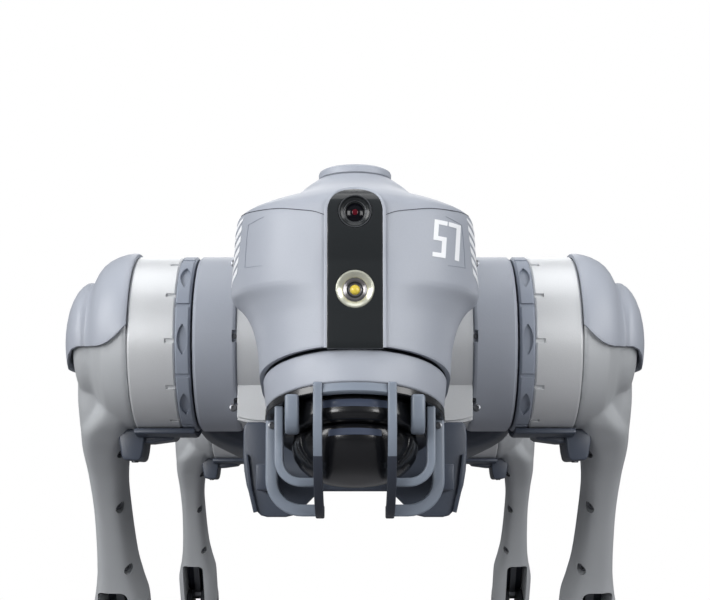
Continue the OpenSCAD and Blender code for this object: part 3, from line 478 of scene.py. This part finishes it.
cut(plate, join("cutters", cutters)); bevel(plate, 0.45, 2, 40)
put(plate, "trunk", None)
vents = join("vents", [prism("vent", [(x-1.9, -17.4), (x+1.9, -17.4), (x+1.9, 17.4), (x-1.9, 17.4)], "z", H+60.6, H+61.7, SLATE_D) for x in (-20, -10, 0, 10, 20)], SLATE_D)
vents.name = "back_vents"; put(vents, "trunk", None)
plate.name, top.name = "payload_plate", "top_cover"
belly = trunk_shell("belly_cover", trunk_rows(58.5, 20.4, 50.6, 12.3, 58.5), SLATE, -1)
cut(belly, block((-60.9, 80, H-39), (60.9, 110, H+39)), angle=40)
slots = [rblock(-30, 30, H-70, H-54, 3, x-3, x+3) for x in range(-80, 81, 20)]
cut(belly, join("slots", slots), angle=40)
bevel(belly, 0.4, 2, 50)
put(belly, "trunk", "belly_pan")
strip = join("side_seams", [prism("seam", [(x0, H-12.35), (x1, H-12.35), (x1, H-11.85), (x0, H-11.85)], "y", y0, y1, SEAM)
                            for x0, x1, y0, y1 in ((-120, 120, -97.2, -95.6), (-120, -61.2, 95.6, 97.2), (61.2, 120, 95.6, 97.2))])
put(strip, "trunk", None)
# screws on the cover
sc = []
for sx in (-1, 1):
    for sy in (-1, 1):
        sc.append(((sx*112, sy*70, H+54.9), (0, sy*0.35, 1), 2.3))
        sc.append(((sx*88, sy*62, H-51.3), (0, sy*0.5, -1), 2.3))
o = screws(sc); o.name = "cover_screws"; put(o, "trunk", None)

# tail cap
def tail_ring(x, w, z0, z1, n=64):
    return [(x, w*spow(math.cos(2*math.pi*j/n), 0.5), H + (z0+z1)/2 + (z1-z0)/2*spow(math.sin(2*math.pi*j/n), 0.5)) for j in range(n)]
TAIL = [[-244.3, 46, -52, 61], [-250, 46, -52, 61], [-258, 45.8, -51.8, 60.8], [-264, 45, -50.6, 60], [-270, 43, -48, 58.4], [-275, 39.8, -44, 55.4], [-279, 35, -38.6, 50.6], [-281.6, 28, -31, 43.6], [-282.8, 18, -20, 34], [-283, 6, -6, 20]]
v, f = rings([tail_ring(*r) for r in TAIL], False, True)
tail = obj("tail_cover", v, f, GREY_S, 50)
m = tail.modifiers.new("sol", "SOLIDIFY"); m.thickness = 0.0023; m.offset = -1
bake(tail)
cut(tail, join("tv", [rblock(i*9-1.7, i*9+1.7, H-25, H-3, 1.6, -300, -262) for i in range(-2, 3)]), angle=50)
put(tail, "trunk", "rear_cap")
back = prism("tail_back", [(y, H+z) for y, z in ((-36, -26), (36, -26), (36, 10), (-36, 10))], "x", -277, -275.5, SLATE_D)
put(back, "trunk", None)

# ------------------------------------------------------------------ head
HEAD = [[-29.3, 44.3, 332.4, 290, 246, 1.0], [-17, 45.2, 331.6, 288, 245.4, 0.98], [-9.2, 46.8, 331, 284, 245, 0.96],
        [-2.8, 48.8, 330.4, 279, 244.6, 0.93], [3.8, 52.3, 330, 273, 244.4, 0.9], [7.4, 55.5, 329.7, 268, 244.3, 0.88], [10.6, 59.0, 329.5, 264.6, 244.25, 0.87],
        [12.8, 59.9, 329.3, 263, 244.2, 0.86], [18, 59.7, 329, 262, 244.2, 0.85], [30, 58.9, 327.8, 261, 244.2, 0.84],
        [42, 58.2, 325.6, 261, 244.2, 0.84], [47.2, 57.7, 323.6, 261, 244.2, 0.84], [49.4, 56.9, 322, 261, 244.5, 0.84], [51.1, 55.0, 320.2, 261, 245, 0.85],
        [55.3, 46.5, 313, 261, 246.5, 0.88], [59.1, 36.2, 304, 261, 247.5, 0.92], [62.4, 30.2, 296, 261.5, 248, 0.95],
        [65.1, 27.2, 290.5, 262, 247, 1.0], [67.5, 24.6, 287, 262, 245.6, 1.0], [72, 18.6, 280.6, 262, 243.8, 1.0]]
TILT = math.radians(15)
def hood(z, y):
    if z <= 20: return 0.0
    return 4.6*math.exp(-(y/19)**4)*min(1, (z-20)/30)*(1 if z < 60 else max(0, (72-z)/12))
def head_pt(z, t, d=0.0):
    w, xf, xm, xb, e = (interp(HEAD, z, c) for c in (1, 2, 3, 4, 5))
    w -= d; xf -= d
    c, s = math.cos(t), math.sin(t)
    ee = e if c >= 0 else 0.45 + 0.55*max(0, (z-55)/17)
    x = xm + (xf-xm)*abs(c)**ee if c >= 0 else xm - (xm-xb-d)*abs(c)**ee
    y = w*spow(s, ee)
    if c > 0: x += hood(z, y)*c
    k = (7.4-z)/36.7 if z < 7.4 else 0
    return (x, y, H + z + k*math.tan(TILT)*(x-290))
zs = []
for a, b_, n in ((-29.3, 4, 16), (4, 10.2, 6), (10.2, 14, 8), (14, 46.5, 16), (46.5, 52.5, 10), (52.5, 72, 16)):
    zs += [a + (b_-a)*i/n for i in range(n)]
zs.append(72)
NA = 160
v, f = rings([[head_pt(z, 2*math.pi*j/NA) for j in range(NA)] for z in zs], False, False)
head = obj("head_cover", v, f, GREY_S, 60)
m = head.modifiers.new("sol", "SOLIDIFY"); m.thickness = 0.0023; m.offset = -1
bake(head)
skin = BVHTree.FromObject(head, bpy.context.evaluated_depsgraph_get())
def on_face(y, z, lift=0.12):
    """Point on the head's front skin at (y, z above the hip axes), in mm."""
    hit, nrm, _, _ = skin.ray_cast(Vector((0.6, y*S, (H+z)*S)), Vector((-1, 0, 0)))
    if hit is None: return None
    return tuple((hit + nrm*lift*S)*1000)
def strip_half(z, g=0.0):
    r = 12.3 + g
    if z <= 42: return r
    return math.sqrt(max(0, r*r - (z-42)**2))
def strip_outline(g, zb):
    return [(-12.3-g, H+zb)] + [((12.3+g)*math.cos(math.radians(180-a)), H+42+(12.3+g)*math.sin(math.radians(180-a))) for a in range(0, 181, 6)] + [(12.3+g, H+zb)]
cut(head, prism("strip_hole", strip_outline(0.12, -40), "x", 300, 350, GREY_S), angle=60)
cut(head, block((240, -19.3, H+50.6), (250, 19.3, H+57.4), GREY_S), angle=60)
for p in head.data.polygons: p.material_index = 0
bevel(head, 0.4, 2, 55)
put(head, "trunk", "head_shell")

def face_x(z):
    return interp(HEAD, z, 2) + hood(z, 0)
def strip_sheet(name, g0, g1, z0, z1, lift, mat, thick=0.6, nz=60, ny=14):
    """A panel that follows the face between half widths; g1 is not used."""
    rs = []
    zz = [z0 + (z1-z0)*math.sin(math.pi/2*i/nz)**0.8 for i in range(nz+1)]
    for z in zz:
        w = strip_half(z, g0)
        rs.append([(face_x(min(z, 56)) + lift - 0.0016*(w*u/ny)**2, w*u/ny, H+z) for u in range(-ny, ny+1)])
    v, f = rings(rs, False, False, closed=False)
    o = obj(name, v, f, mat, 60)
    bm = bmesh.new(); bm.from_mesh(o.data)
    if sum(fc.normal.x for fc in bm.faces) < 0: bmesh.ops.reverse_faces(bm, faces=bm.faces)
    bm.to_mesh(o.data); bm.free()
    m = o.modifiers.new("sol", "SOLIDIFY"); m.thickness = thick*S; m.offset = -1
    return bake(o)
panel = strip_sheet("face_strip", 0, None, -19.4, 54.28, 0.45, BLACKG, 2.2)
def disc_cut(z, r): return turned("d", [(-20, 0), (-20, r), (20, r), (20, 0)], SLATE_D, n=64, place=lambda p: (328 + p[1], p[0], H + z + p[2]))
cut(panel, disc_cut(42, 7.6), angle=40); cut(panel, disc_cut(7, 8.55), angle=40)
for p in panel.data.polygons: p.material_index = 0
bevel(panel, 0.25, 2, 50)
put(panel, "trunk", "face_panel")
# bezel line round the strip, in shell grey
rs = []
path = [(-12.9, -19.0 + 61*i/30) for i in range(31)] + [(12.9*math.cos(math.radians(180-a)), 42+12.9*math.sin(math.radians(180-a))) for a in range(6, 175, 6)] + [(12.9, 42 - 61*i/30) for i in range(31)]
for y, z in path:
    sx, sy = (y, max(z-42, 0)) if z > 42 else (y, 0)
    ln = math.hypot(sx, sy); nx, nz_ = sx/ln, sy/ln
    ring = []
    for k in range(8):
        a = 2*math.pi*k/8
        ring.append((face_x(min(z, 56)) + 0.25 + 0.55*math.cos(a) - 0.4, y + nx*0.85*math.sin(a), H + z + nz_*0.85*math.sin(a)))
    rs.append(ring)
v, f = rings(rs)
bz = obj("strip_bezel", v, f, GREY_S, 60); put(bz, "trunk", None)

# camera: barrel, stepped rings and a domed glass
def xturn(name, profile, z, mat, n=64, angle=30, hollow=False):
    return turned(name, profile, mat, n=n, place=lambda p: (p[1], p[0], H + z + p[2]), angle=angle, hollow=hollow)
fx = face_x(42) + 0.45
put(xturn("camera_barrel", [(fx-12, 0), (fx-12, 7.5), (fx-0.3, 7.5), (fx+0.15, 7.2), (fx+0.1, 6.6), (fx-0.7, 6.3), (fx-1.3, 5.2), (fx-2.0, 5.0), (fx-2.4, 4.2), (fx-3.6, 3.9), (fx-3.6, 0)], 42, BLACKG), "trunk", "camera_lens")
put(xturn("camera_ring", [(fx-0.2, 6.85), (fx+0.22, 6.95), (fx+0.24, 7.25), (fx-0.2, 7.35)], 42, LENS_RING, hollow=True), "trunk", None)
put(xturn("camera_ring_inner", [(fx-2.1, 4.75), (fx-1.55, 4.85), (fx-1.5, 5.1), (fx-2.1, 5.2)], 42, LENS_RING, hollow=True), "trunk", None)
put(xturn("camera_glass", [(fx-3.5, 0), (fx-3.5, 4.0), (fx-2.9, 4.0), (fx-2.4, 3.1), (fx-2.1, 1.9), (fx-2.0, 0)], 42, LENS_GLASS), "trunk", None)
put(xturn("camera_pupil", [(fx-2.2, 0), (fx-2.2, 1.4), (fx-1.95, 1.3), (fx-1.8, 0.8), (fx-1.75, 0)], 42, LENS_RED), "trunk", None)
# lamp: cream cup, grey inner ring, yellow dome
lx = face_x(7) + 0.45
put(xturn("lamp_cup", [(lx-9, 0), (lx-9, 8.5), (lx-0.1, 8.5), (lx+0.35, 8.2), (lx+0.4, 7.6), (lx-0.4, 6.4), (lx-1.4, 5.4), (lx-2.0, 5.3), (lx-2.0, 0)], 7, CREAM), "trunk", "headlamp")
put(xturn("lamp_inner", [(lx-2.4, 0), (lx-2.4, 5.3), (lx-1.6, 5.2), (lx-1.4, 4.4), (lx-1.9, 3.2), (lx-2.0, 0)], 7, LAMP_MID), "trunk", None)
put(xturn("lamp_dome", [(lx-2.4, 0), (lx-2.4, 2.3), (lx-1.7, 2.2), (lx-0.9, 1.7), (lx-0.5, 0.9), (lx-0.4, 0)], 7, LED), "trunk", None)
put(xturn("lamp_seat", [(lx-2.3, 2.9), (lx-1.55, 2.95), (lx-1.5, 3.6), (lx-2.3, 3.7)], 7, BLACKG, hollow=True), "trunk", None)

def curve2(pts, n=5):
    """Round a polyline with Catmull-Rom."""
    out = []
    for i in range(len(pts)-1):
        p0, p1, p2, p3 = pts[max(i-1, 0)], pts[i], pts[i+1], pts[min(i+2, len(pts)-1)]
        for k in range(n):
            t = k/n
            out.append(tuple(0.5*((2*p1[c]) + (-p0[c]+p2[c])*t + (2*p0[c]-5*p1[c]+4*p2[c]-p3[c])*t*t + (-p0[c]+3*p1[c]-3*p2[c]+p3[c])*t**3) for c in (0, 1)))
    return out + [pts[-1]]

# marks on the head: slanted bars on both sides and a plain number
def mark_quad(corners, nseg=6):
    """A thin patch on the skin from 4 (y, z) corners."""
    (a, b, c, d) = corners
    rs = []
    for i in range(nseg+1):
        u = i/nseg
        row = []
        for k in range(4):
            w = k/3
            y = (a[0]*(1-u)+b[0]*u)*(1-w) + (d[0]*(1-u)+c[0]*u)*w
            z = (a[1]*(1-u)+b[1]*u)*(1-w) + (d[1]*(1-u)+c[1]*u)*w
            p = on_face(y, z)
            if p is None: return None
            row.append(p)
        rs.append(row)
    return rs
def mark(name, quads, mat=WHITE):
    objs = []
    for q in quads:
        rs = mark_quad(q)
        if rs is None: continue
        v, f = rings(rs, False, False, closed=False)
        o = obj("mk", v, f, mat, 60)
        m = o.modifiers.new("sol", "SOLIDIFY"); m.thickness = 0.00012; m.offset = 0
        objs.append(bake(o))
    if objs:
        o = join(name, objs, mat); o.name = name
        put(o, "trunk", None)
for s in (-1, 1):
    bars = []
    for k in range(6):
        z = 17.6 + k*5.0
        def yy(zz, outer):
            yi = 52.4 + (47.3 - zz)*0.10
            return min(yi + 4.9, interp(HEAD, zz, 1) - 0.55) if outer else yi
        lo_, hi_ = z, z + 2.9
        bars.append([(s*yy(hi_+3.4, 0), min(hi_+3.0, 47)), (s*yy(hi_-0.6, 1), hi_-0.9), (s*yy(lo_-0.6, 1), lo_-0.9), (s*yy(lo_+3.4, 0), lo_+3.0)])
    mark("side_marks_" + ("l" if s > 0 else "r"), bars)
    # seam of the top cover, and painted shade lines for the two shallow panel steps (darker grey strips on the skin, no
    # relief)
    pts = [(13.2, 40.6), (17, 42.4), (20, 43.4), (26, 44.7), (34.5, 46.4), (44.6, 47.5), (50, 48.5), (54, 49.4)]
    pts = [(s*a_, b_) for a_, b_ in curve2(pts, 3)]
    mark("top_seam_" + ("l" if s > 0 else "r"), [[(a_[0], a_[1]+0.17), (b_[0], b_[1]+0.17), (b_[0], b_[1]-0.17), (a_[0], a_[1]-0.17)] for a_, b_ in zip(pts, pts[1:])], SEAM)
    pts = [(s*41.5, 43.6), (s*49.3, 41.8), (s*49.9, 36), (s*50.4, 28), (s*50.6, 21.4), (s*42, 20.4)]
    mark("painted_step_shade_" + ("l" if s > 0 else "r"), [[(a_[0]-0.14, a_[1]+0.14), (b_[0]-0.14, b_[1]+0.14), (b_[0]+0.14, b_[1]-0.14), (a_[0]+0.14, a_[1]-0.14)] for a_, b_ in zip(pts, pts[1:])], STEP_SHADE)
def stroke_quads(cy, cz, h, w, t, segs):
    """Plain seven-bar figure, slanted a little."""
    sl = 0.08
    P = {"tl": (-w/2, h/2), "tr": (w/2, h/2), "ml": (-w/2, 0), "mr": (w/2, 0), "bl": (-w/2, -h/2), "br": (w/2, -h/2)}
    bars = {"a": ("tl", "tr"), "b": ("tr", "mr"), "c": ("mr", "br"), "d": ("bl", "br"), "e": ("ml", "bl"), "f": ("tl", "ml"), "g": ("ml", "mr")}
    out = []
    for sg in segs:
        p, q = (P[k] for k in bars[sg])
        dx, dz = q[0]-p[0], q[1]-p[1]; ln = math.hypot(dx, dz); ux, uz = dx/ln, dz/ln; nx, nz_ = -uz, ux
        e = t/2*0.98
        pts = [(p[0]-ux*e+nx*t/2, p[1]-uz*e+nz_*t/2), (q[0]+ux*e+nx*t/2, q[1]+uz*e+nz_*t/2), (q[0]+ux*e-nx*t/2, q[1]+uz*e-nz_*t/2), (p[0]-ux*e-nx*t/2, p[1]-uz*e-nz_*t/2)]
        out.append([(cy + y + sl*z, cz + z) for y, z in pts])
    return out
mark("unit_number", stroke_quads(38.3, 32.4, 15.6, 4.1, 2.1, "acdfg") + stroke_quads(45.0, 32.4, 15.6, 4.0, 2.1, "abc"))

# antenna cap: dished disc with a rim and small bosses
rim = [(66, 0), (66, 9), (72.4, 9), (72.4, 17.2), (73, 17.8), (75.2, 17.9), (76.2, 17.5), (76.9, 16.4), (77, 15), (76.5, 13.8), (76.3, 10), (76.4, 0)]
ant = turned("antenna_top", rim, GREY_S, n=80, place=lambda p: (262 + p[0], p[2], H + p[1]), angle=35)
put(ant, "trunk", "antenna_cap")
dots = screws([((262+12*math.cos(a), 12*math.sin(a), H+76.5), (0, 0, 1), 1.5, 0.7) for a in [math.pi/4*(2*k+1) for k in range(4)]])
dots.name = "antenna_screws"; put(dots, "trunk", None)

# ------------------------------------------------------------------ range scanner
ST, CT = math.sin(TILT), math.cos(TILT)
def scan_pt(p):     # scanner's own frame, axis Z
    q = rot_y(p, -TILT)
    return (q[0] + 290, q[1], q[2] + H - 37.2)
def scan_turned(name, prof, mat, n=96, angle=32, hollow=False):
    return turned(name, prof, mat, n=n, place=lambda p: scan_pt((p[0], p[2], p[1])), angle=angle, hollow=hollow)
col = scan_turned("collar_ring", [(-7.4, 37.3), (-7.4, 40.4), (-6.9, 41.0), (0, 41.9), (6.3, 42.6), (7.0, 42.4), (7.3, 41.6), (7.3, 37.3)], GREY_S, n=128, hollow=True)
cut(col, block((331.5, -24, H-70), (350, 24, H+5), GREY_S), angle=45)
bevel(col, 0.35, 2, 40)
put(col, "trunk", "lidar_collar")
base = scan_turned("scanner_body", [(-21.6, 0), (-21.6, 32.6), (-21.0, 34.0), (-19.6, 35.1), (-18, 35.4), (-12.4, 35.4), (-11.9, 34.7), (-9.4, 34.7), (-9.0, 36.9), (6, 36.9), (9, 30), (9, 0)], SCANB)
put(base, "trunk", "lidar_base")
rot = scan_turned("scanner_rotor", [(-40, 0), (-39.95, 7), (-39.5, 13), (-38.2, 18.4), (-36, 22.6), (-33.2, 25.6), (-30, 27.7), (-26.6, 28.8), (-23.6, 28.9), (-22.5, 28.3), (-22.2, 27), (-22.2, 0)], SCANB)
put(rot, "scanner_rotor", "lidar_rotor")
for nm, r0, z0, z1, mat in (("scanner_band_top", 35.35, -13.4, -16.8, GLOW), ("scanner_band_low", 28.75, -24.6, -27.6, GLOW)):
    n = 24; rs = []
    for k in range(n+1):
        a = math.radians(-24 + 48*k/n)
        rr = r0 + 0.12
        rs.append([scan_pt((q*math.cos(a), q*math.sin(a), z)) for q, z in ((rr-0.5, z0), (rr, z0), (rr, z1), (rr-0.5, z1))])
    v, f = rings(rs)
    o = obj(nm, v, f, mat, 60)
    put(o, "trunk" if r0 > 30 else "scanner_rotor", None)
ribs = []
for k in range(3):
    a = math.radians(60 + 120*k)
    pts = []
    for z, r_ in ((-24.4, 28.9), (-28, 28.5), (-32, 26.4), (-36, 22.4)):
        pts.append([scan_pt((r_*math.cos(a)+u*math.sin(a), r_*math.sin(a)-u*math.cos(a), z)) if w == 0 else
                    scan_pt(((r_+0.35)*math.cos(a)+u*math.sin(a), (r_+0.35)*math.sin(a)-u*math.cos(a), z)) for u, w in ((-2, 0), (-1.6, 1), (1.6, 1), (2, 0))])
    v, f = rings(pts)
    ribs.append(obj("rib", v, f, SCANB))
ribs = join("rotor_ribs", ribs, SCANB); put(ribs, "scanner_rotor", None)

# guard: ring, fins, hoops, cheek plates, chin
FO = [(333.2, -34), (333.2, -44), (333.1, -52), (331.6, -61), (327.4, -69.5), (320.4, -78), (311, -85), (300, -90.4), (288, -93), (280, -93)]
FI = [(280, -87.2), (291, -86.8), (301, -83.6), (309.6, -79), (316.8, -73), (322.4, -66.2), (326, -59), (327.8, -50), (327.8, -34)]
fin_pts = [(x, H+z) for x, z in curve2(FO) + curve2(FI)]
for s in (-1, 1):
    o = prism(f"guard_fin_{'l' if s > 0 else 'r'}", fin_pts, "y", s*16.2-2, s*16.2+2, SLATE_D, 0.6, 3)
    # painted highlight: forward-facing fin faces higher than 66 mm below the hip axes get the lighter guard grey,
    # standing in for light falling on their fronts; the rest of each fin stays dark slate
    o.data.materials.append(GUARD)
    for p_ in o.data.polygons:
        if p_.normal.x > 0.55 and p_.center.z > (H-66)*S: p_.material_index = 1
    put(o, "trunk", "lidar_guard" if s > 0 else None)
def hoop_outline(w, zt, zb, bar, r, n=10):
    o = [(-w, zt)] + [(-w+r-r*math.cos(math.radians(90*k/n)), zb+r-r*math.sin(math.radians(90*k/n))) for k in range(n+1)]
    o += [(w-r+r*math.sin(math.radians(90*k/n)), zb+r-r*math.cos(math.radians(90*k/n))) for k in range(n+1)] + [(w, zt)]
    w2, zb2, r2 = w-bar, zb+bar, r-bar
    i = [(w2, zt)] + [(w2-r2+r2*math.cos(math.radians(90*k/n)), zb2+r2-r2*math.sin(math.radians(90*k/n))) for k in range(n+1)]
    i += [(-w2+r2-r2*math.sin(math.radians(90*k/n)), zb2+r2-r2*math.cos(math.radians(90*k/n))) for k in range(n+1)] + [(-w2, zt)]
    return [(y, H+z) for y, z in o + i]
for nm, w_, zt, zb, bar, r_, x0, x1, bv in (("front", 36, -43, -79, 4, 12, 306.4, 313.4, 0.8), ("rear", 41.2, -45.4, -92.2, 5.5, 17, 286, 294, 1.0)):
    o = prism("guard_hoop_" + nm, hoop_outline(w_, zt, zb, bar, r_), "x", x0, x1, GUARD)
    cut(o, block((280, -16, H-96), (320, 16, H-60), GUARD), angle=40)
    bevel(o, bv, 3, 40)
    put(o, "trunk", None)
ring = scan_turned("guard_ring", [(-11.6, 37.5), (-11.6, 40.9), (-11.2, 41.4), (-8.2, 41.4), (-7.8, 41.0), (-7.6, 40.2), (-7.6, 37.5)], SCANB, n=128, hollow=True)
put(ring, "trunk", None)
rs = []
for k in range(25):
    a = math.radians(-22 + 44*k/24)
    rs.append([scan_pt((q*math.cos(a), q*math.sin(a), z)) for q, z in ((39.6, -8.3), (42.4, -8.3), (43.0, -8.7), (43.0, -12.2), (42.4, -12.7), (39.6, -12.7))])
v, f = rings(rs)
arc_ = obj("guard_arc", v, f, GUARD, 40); put(arc_, "trunk", None)
for s in (-1, 1):
    pl = [(316, -40), (326, -38.6), (326.2, -49), (325.4, -52.6), (323, -55.2), (319.6, -56.4), (317, -55.6), (316, -53.4)]
    put(prism(f"guard_cheek_{'l' if s > 0 else 'r'}", [(x, H+z) for x, z in pl], "y", s*27.7-3.1, s*27.7+3.1, GUARD, 1.4, 4), "trunk", None)
half = [(0, -57), (41, -57), (43, -47), (45, -46), (53, -46), (54.6, -48), (55, -52), (55, -62), (54.4, -70), (53.2, -77), (51, -84), (48.4, -89.4), (46, -91.8), (43, -92.6), (34, -92.6), (30.5, -91.8), (27, -89.6), (18.5, -81), (16, -80), (0, -80)]
chin = [(y, H+z) for y, z in half] + [(-y, H+z) for y, z in half[-2:0:-1]]
put(prism("chin_plate", chin, "x", 245.7, 252.5, SLATE, 1.0, 3), "trunk", None)
arms = []
for s in (-1, 1):
    arms.append(prism("arm", [(s*43-3, H-80), (s*43+3, H-80), (s*43+3, H-68), (s*43-3, H-68)], "x", 252, 287, SLATE, 0.6))
    arms.append(prism("lip", [(s*49.5, H-90.5), (s*52.5, H-78), (s*54.0, H-62), (s*52.4, H-62), (s*50.4, H-78), (s*47.6, H-90.0)][::1], "x", 252.4, 254.6, SLATE, 0.3))
arms = join("chin_arms", arms, SLATE); put(arms, "trunk", None)
gs = screws([((294.4, s*38.4, H-50.5), (1, 0, 0), 1.6, 0.7) for s in (-1, 1)])
gs.name = "guard_screws"; put(gs, "trunk", None)

# ------------------------------------------------------------------ legs: drum details
it = []
for a in range(0, 360, 45):
    c, s = math.cos(math.radians(a+22.5)), math.sin(math.radians(a+22.5))
    it.append(((37.0, HY + 40.4*c, 40.4*s), (1, 0, 0), 2.0, 1.0))
four(screws(it), "bracket_screws", "hip", mirror_x=True)
it = []
for k in range(8):
    a = math.radians(-(2 + 45*k))
    it.append(((45.2*math.cos(a), 61.2, 45.2*math.sin(a)), (math.cos(a), 0, math.sin(a)), 1.3, 0.6))
four(screws(it), "cover_screws", "hip", mirror_x=False)

# ------------------------------------------------------------------ floor, light, camera
bpy.ops.mesh.primitive_plane_add(size=24, location=(0, 0, -0.0002))
floor = bpy.context.object; floor.name = "floor"
fm = bpy.data.materials.new("floor"); fm.use_nodes = True
nt = fm.node_tree; bs = nt.nodes["Principled BSDF"]; out = nt.nodes["Material Output"]
bs.inputs["Roughness"].default_value = 0.7
lpf = nt.nodes.new("ShaderNodeLightPath"); fcol = nt.nodes.new("ShaderNodeMix"); fcol.data_type = "RGBA"
fcol.inputs[6].default_value = (0.16, 0.16, 0.17, 1); fcol.inputs[7].default_value = (0.86, 0.86, 0.87, 1)
nt.links.new(lpf.outputs["Is Camera Ray"], fcol.inputs[0]); nt.links.new(fcol.outputs[2], bs.inputs["Base Color"])
tc = nt.nodes.new("ShaderNodeTexCoord"); ln = nt.nodes.new("ShaderNodeVectorMath"); ln.operation = "LENGTH"
nt.links.new(tc.outputs["Object"], ln.inputs[0])
mr = nt.nodes.new("ShaderNodeMapRange"); mr.interpolation_type = "SMOOTHSTEP"; mr.inputs[1].default_value, mr.inputs[2].default_value = 0.55, 1.6
nt.links.new(ln.outputs["Value"], mr.inputs[0])
em = nt.nodes.new("ShaderNodeEmission"); em.inputs[0].default_value = (1, 1, 1, 1)
est = nt.nodes.new("ShaderNodeMapRange"); est.inputs[3].default_value, est.inputs[4].default_value = 0.10, 1.0
nt.links.new(lpf.outputs["Is Camera Ray"], est.inputs[0]); nt.links.new(est.outputs[0], em.inputs[1])
mx = nt.nodes.new("ShaderNodeMixShader"); nt.links.new(mr.outputs[0], mx.inputs[0]); nt.links.new(bs.outputs[0], mx.inputs[1]); nt.links.new(em.outputs[0], mx.inputs[2])
nt.links.new(mx.outputs[0], out.inputs[0])
floor.data.materials.append(fm)

w = bpy.data.worlds.new("studio"); scene.world = w; w.use_nodes = True
nt = w.node_tree; bg = nt.nodes["Background"]
tc = nt.nodes.new("ShaderNodeTexCoord"); sp = nt.nodes.new("ShaderNodeSeparateXYZ"); nt.links.new(tc.outputs["Generated"], sp.inputs[0])
cr = nt.nodes.new("ShaderNodeValToRGB")
cr.color_ramp.elements[0].position, cr.color_ramp.elements[0].color = 0.46, (0.10, 0.103, 0.11, 1)
cr.color_ramp.elements[1].position, cr.color_ramp.elements[1].color = 0.92, (0.46, 0.47, 0.49, 1)
e_ = cr.color_ramp.elements.new(0.60); e_.color = (0.24, 0.245, 0.255, 1)
mp = nt.nodes.new("ShaderNodeMapRange"); mp.inputs[1].default_value = -1; mp.inputs[2].default_value = 1
nt.links.new(sp.outputs[2], mp.inputs[0]); nt.links.new(mp.outputs[0], cr.inputs[0])
lp = nt.nodes.new("ShaderNodeLightPath"); bw = nt.nodes.new("ShaderNodeBackground"); bw.inputs[0].default_value = (1, 1, 1, 1); bw.inputs[1].default_value = 1.0
nt.links.new(cr.outputs[0], bg.inputs[0]); bg.inputs[1].default_value = 0.75
ms = nt.nodes.new("ShaderNodeMixShader"); nt.links.new(lp.outputs["Is Camera Ray"], ms.inputs[0]); nt.links.new(bg.outputs[0], ms.inputs[1]); nt.links.new(bw.outputs[0], ms.inputs[2])
nt.links.new(ms.outputs[0], nt.nodes["World Output"].inputs[0])

def area(name, loc, target, size, power, size_y=None, colour=(1, 1, 1)):
    l = bpy.data.lights.new(name, "AREA"); l.energy = power; l.size = size; l.color = colour
    if size_y: l.shape = "RECTANGLE"; l.size_y = size_y
    o = bpy.data.objects.new(name, l); scene.collection.objects.link(o)
    o.location = loc
    o.rotation_euler = (Vector(target) - Vector(loc)).to_track_quat("-Z", "Y").to_euler()
    return o
area("top", (0.3, 0, 2.1), (0.15, 0, 0.35), 1.5, 10)
area("left", (1.0, -1.7, 1.2), (0.15, -0.05, 0.3), 0.9, 24, 1.2)
area("right", (1.0, 1.8, 1.2), (0.15, 0.05, 0.3), 0.9, 17, 1.2)
area("front_left", (2.1, -1.3, 0.75), (0.15, -0.05, 0.22), 0.9, 25)
area("front_right", (2.1, 1.4, 0.75), (0.15, 0.05, 0.22), 0.9, 20)
area("back", (-1.8, 0, 1.7), (0, 0, 0.3), 1.2, 8)

cam = bpy.data.cameras.new("camera"); co = bpy.data.objects.new("camera", cam); scene.collection.objects.link(co)
cam.sensor_width = 36; cam.lens = 36*1320/710
cam.shift_y = 0.10
co.location = (0.9014, 0, H*S - 0.0905)
co.rotation_euler = (math.pi/2 + math.atan((212.8 - 0.10*710)/1320), 0, math.pi/2)
scene.camera = co
scene.view_settings.view_transform = "Standard"
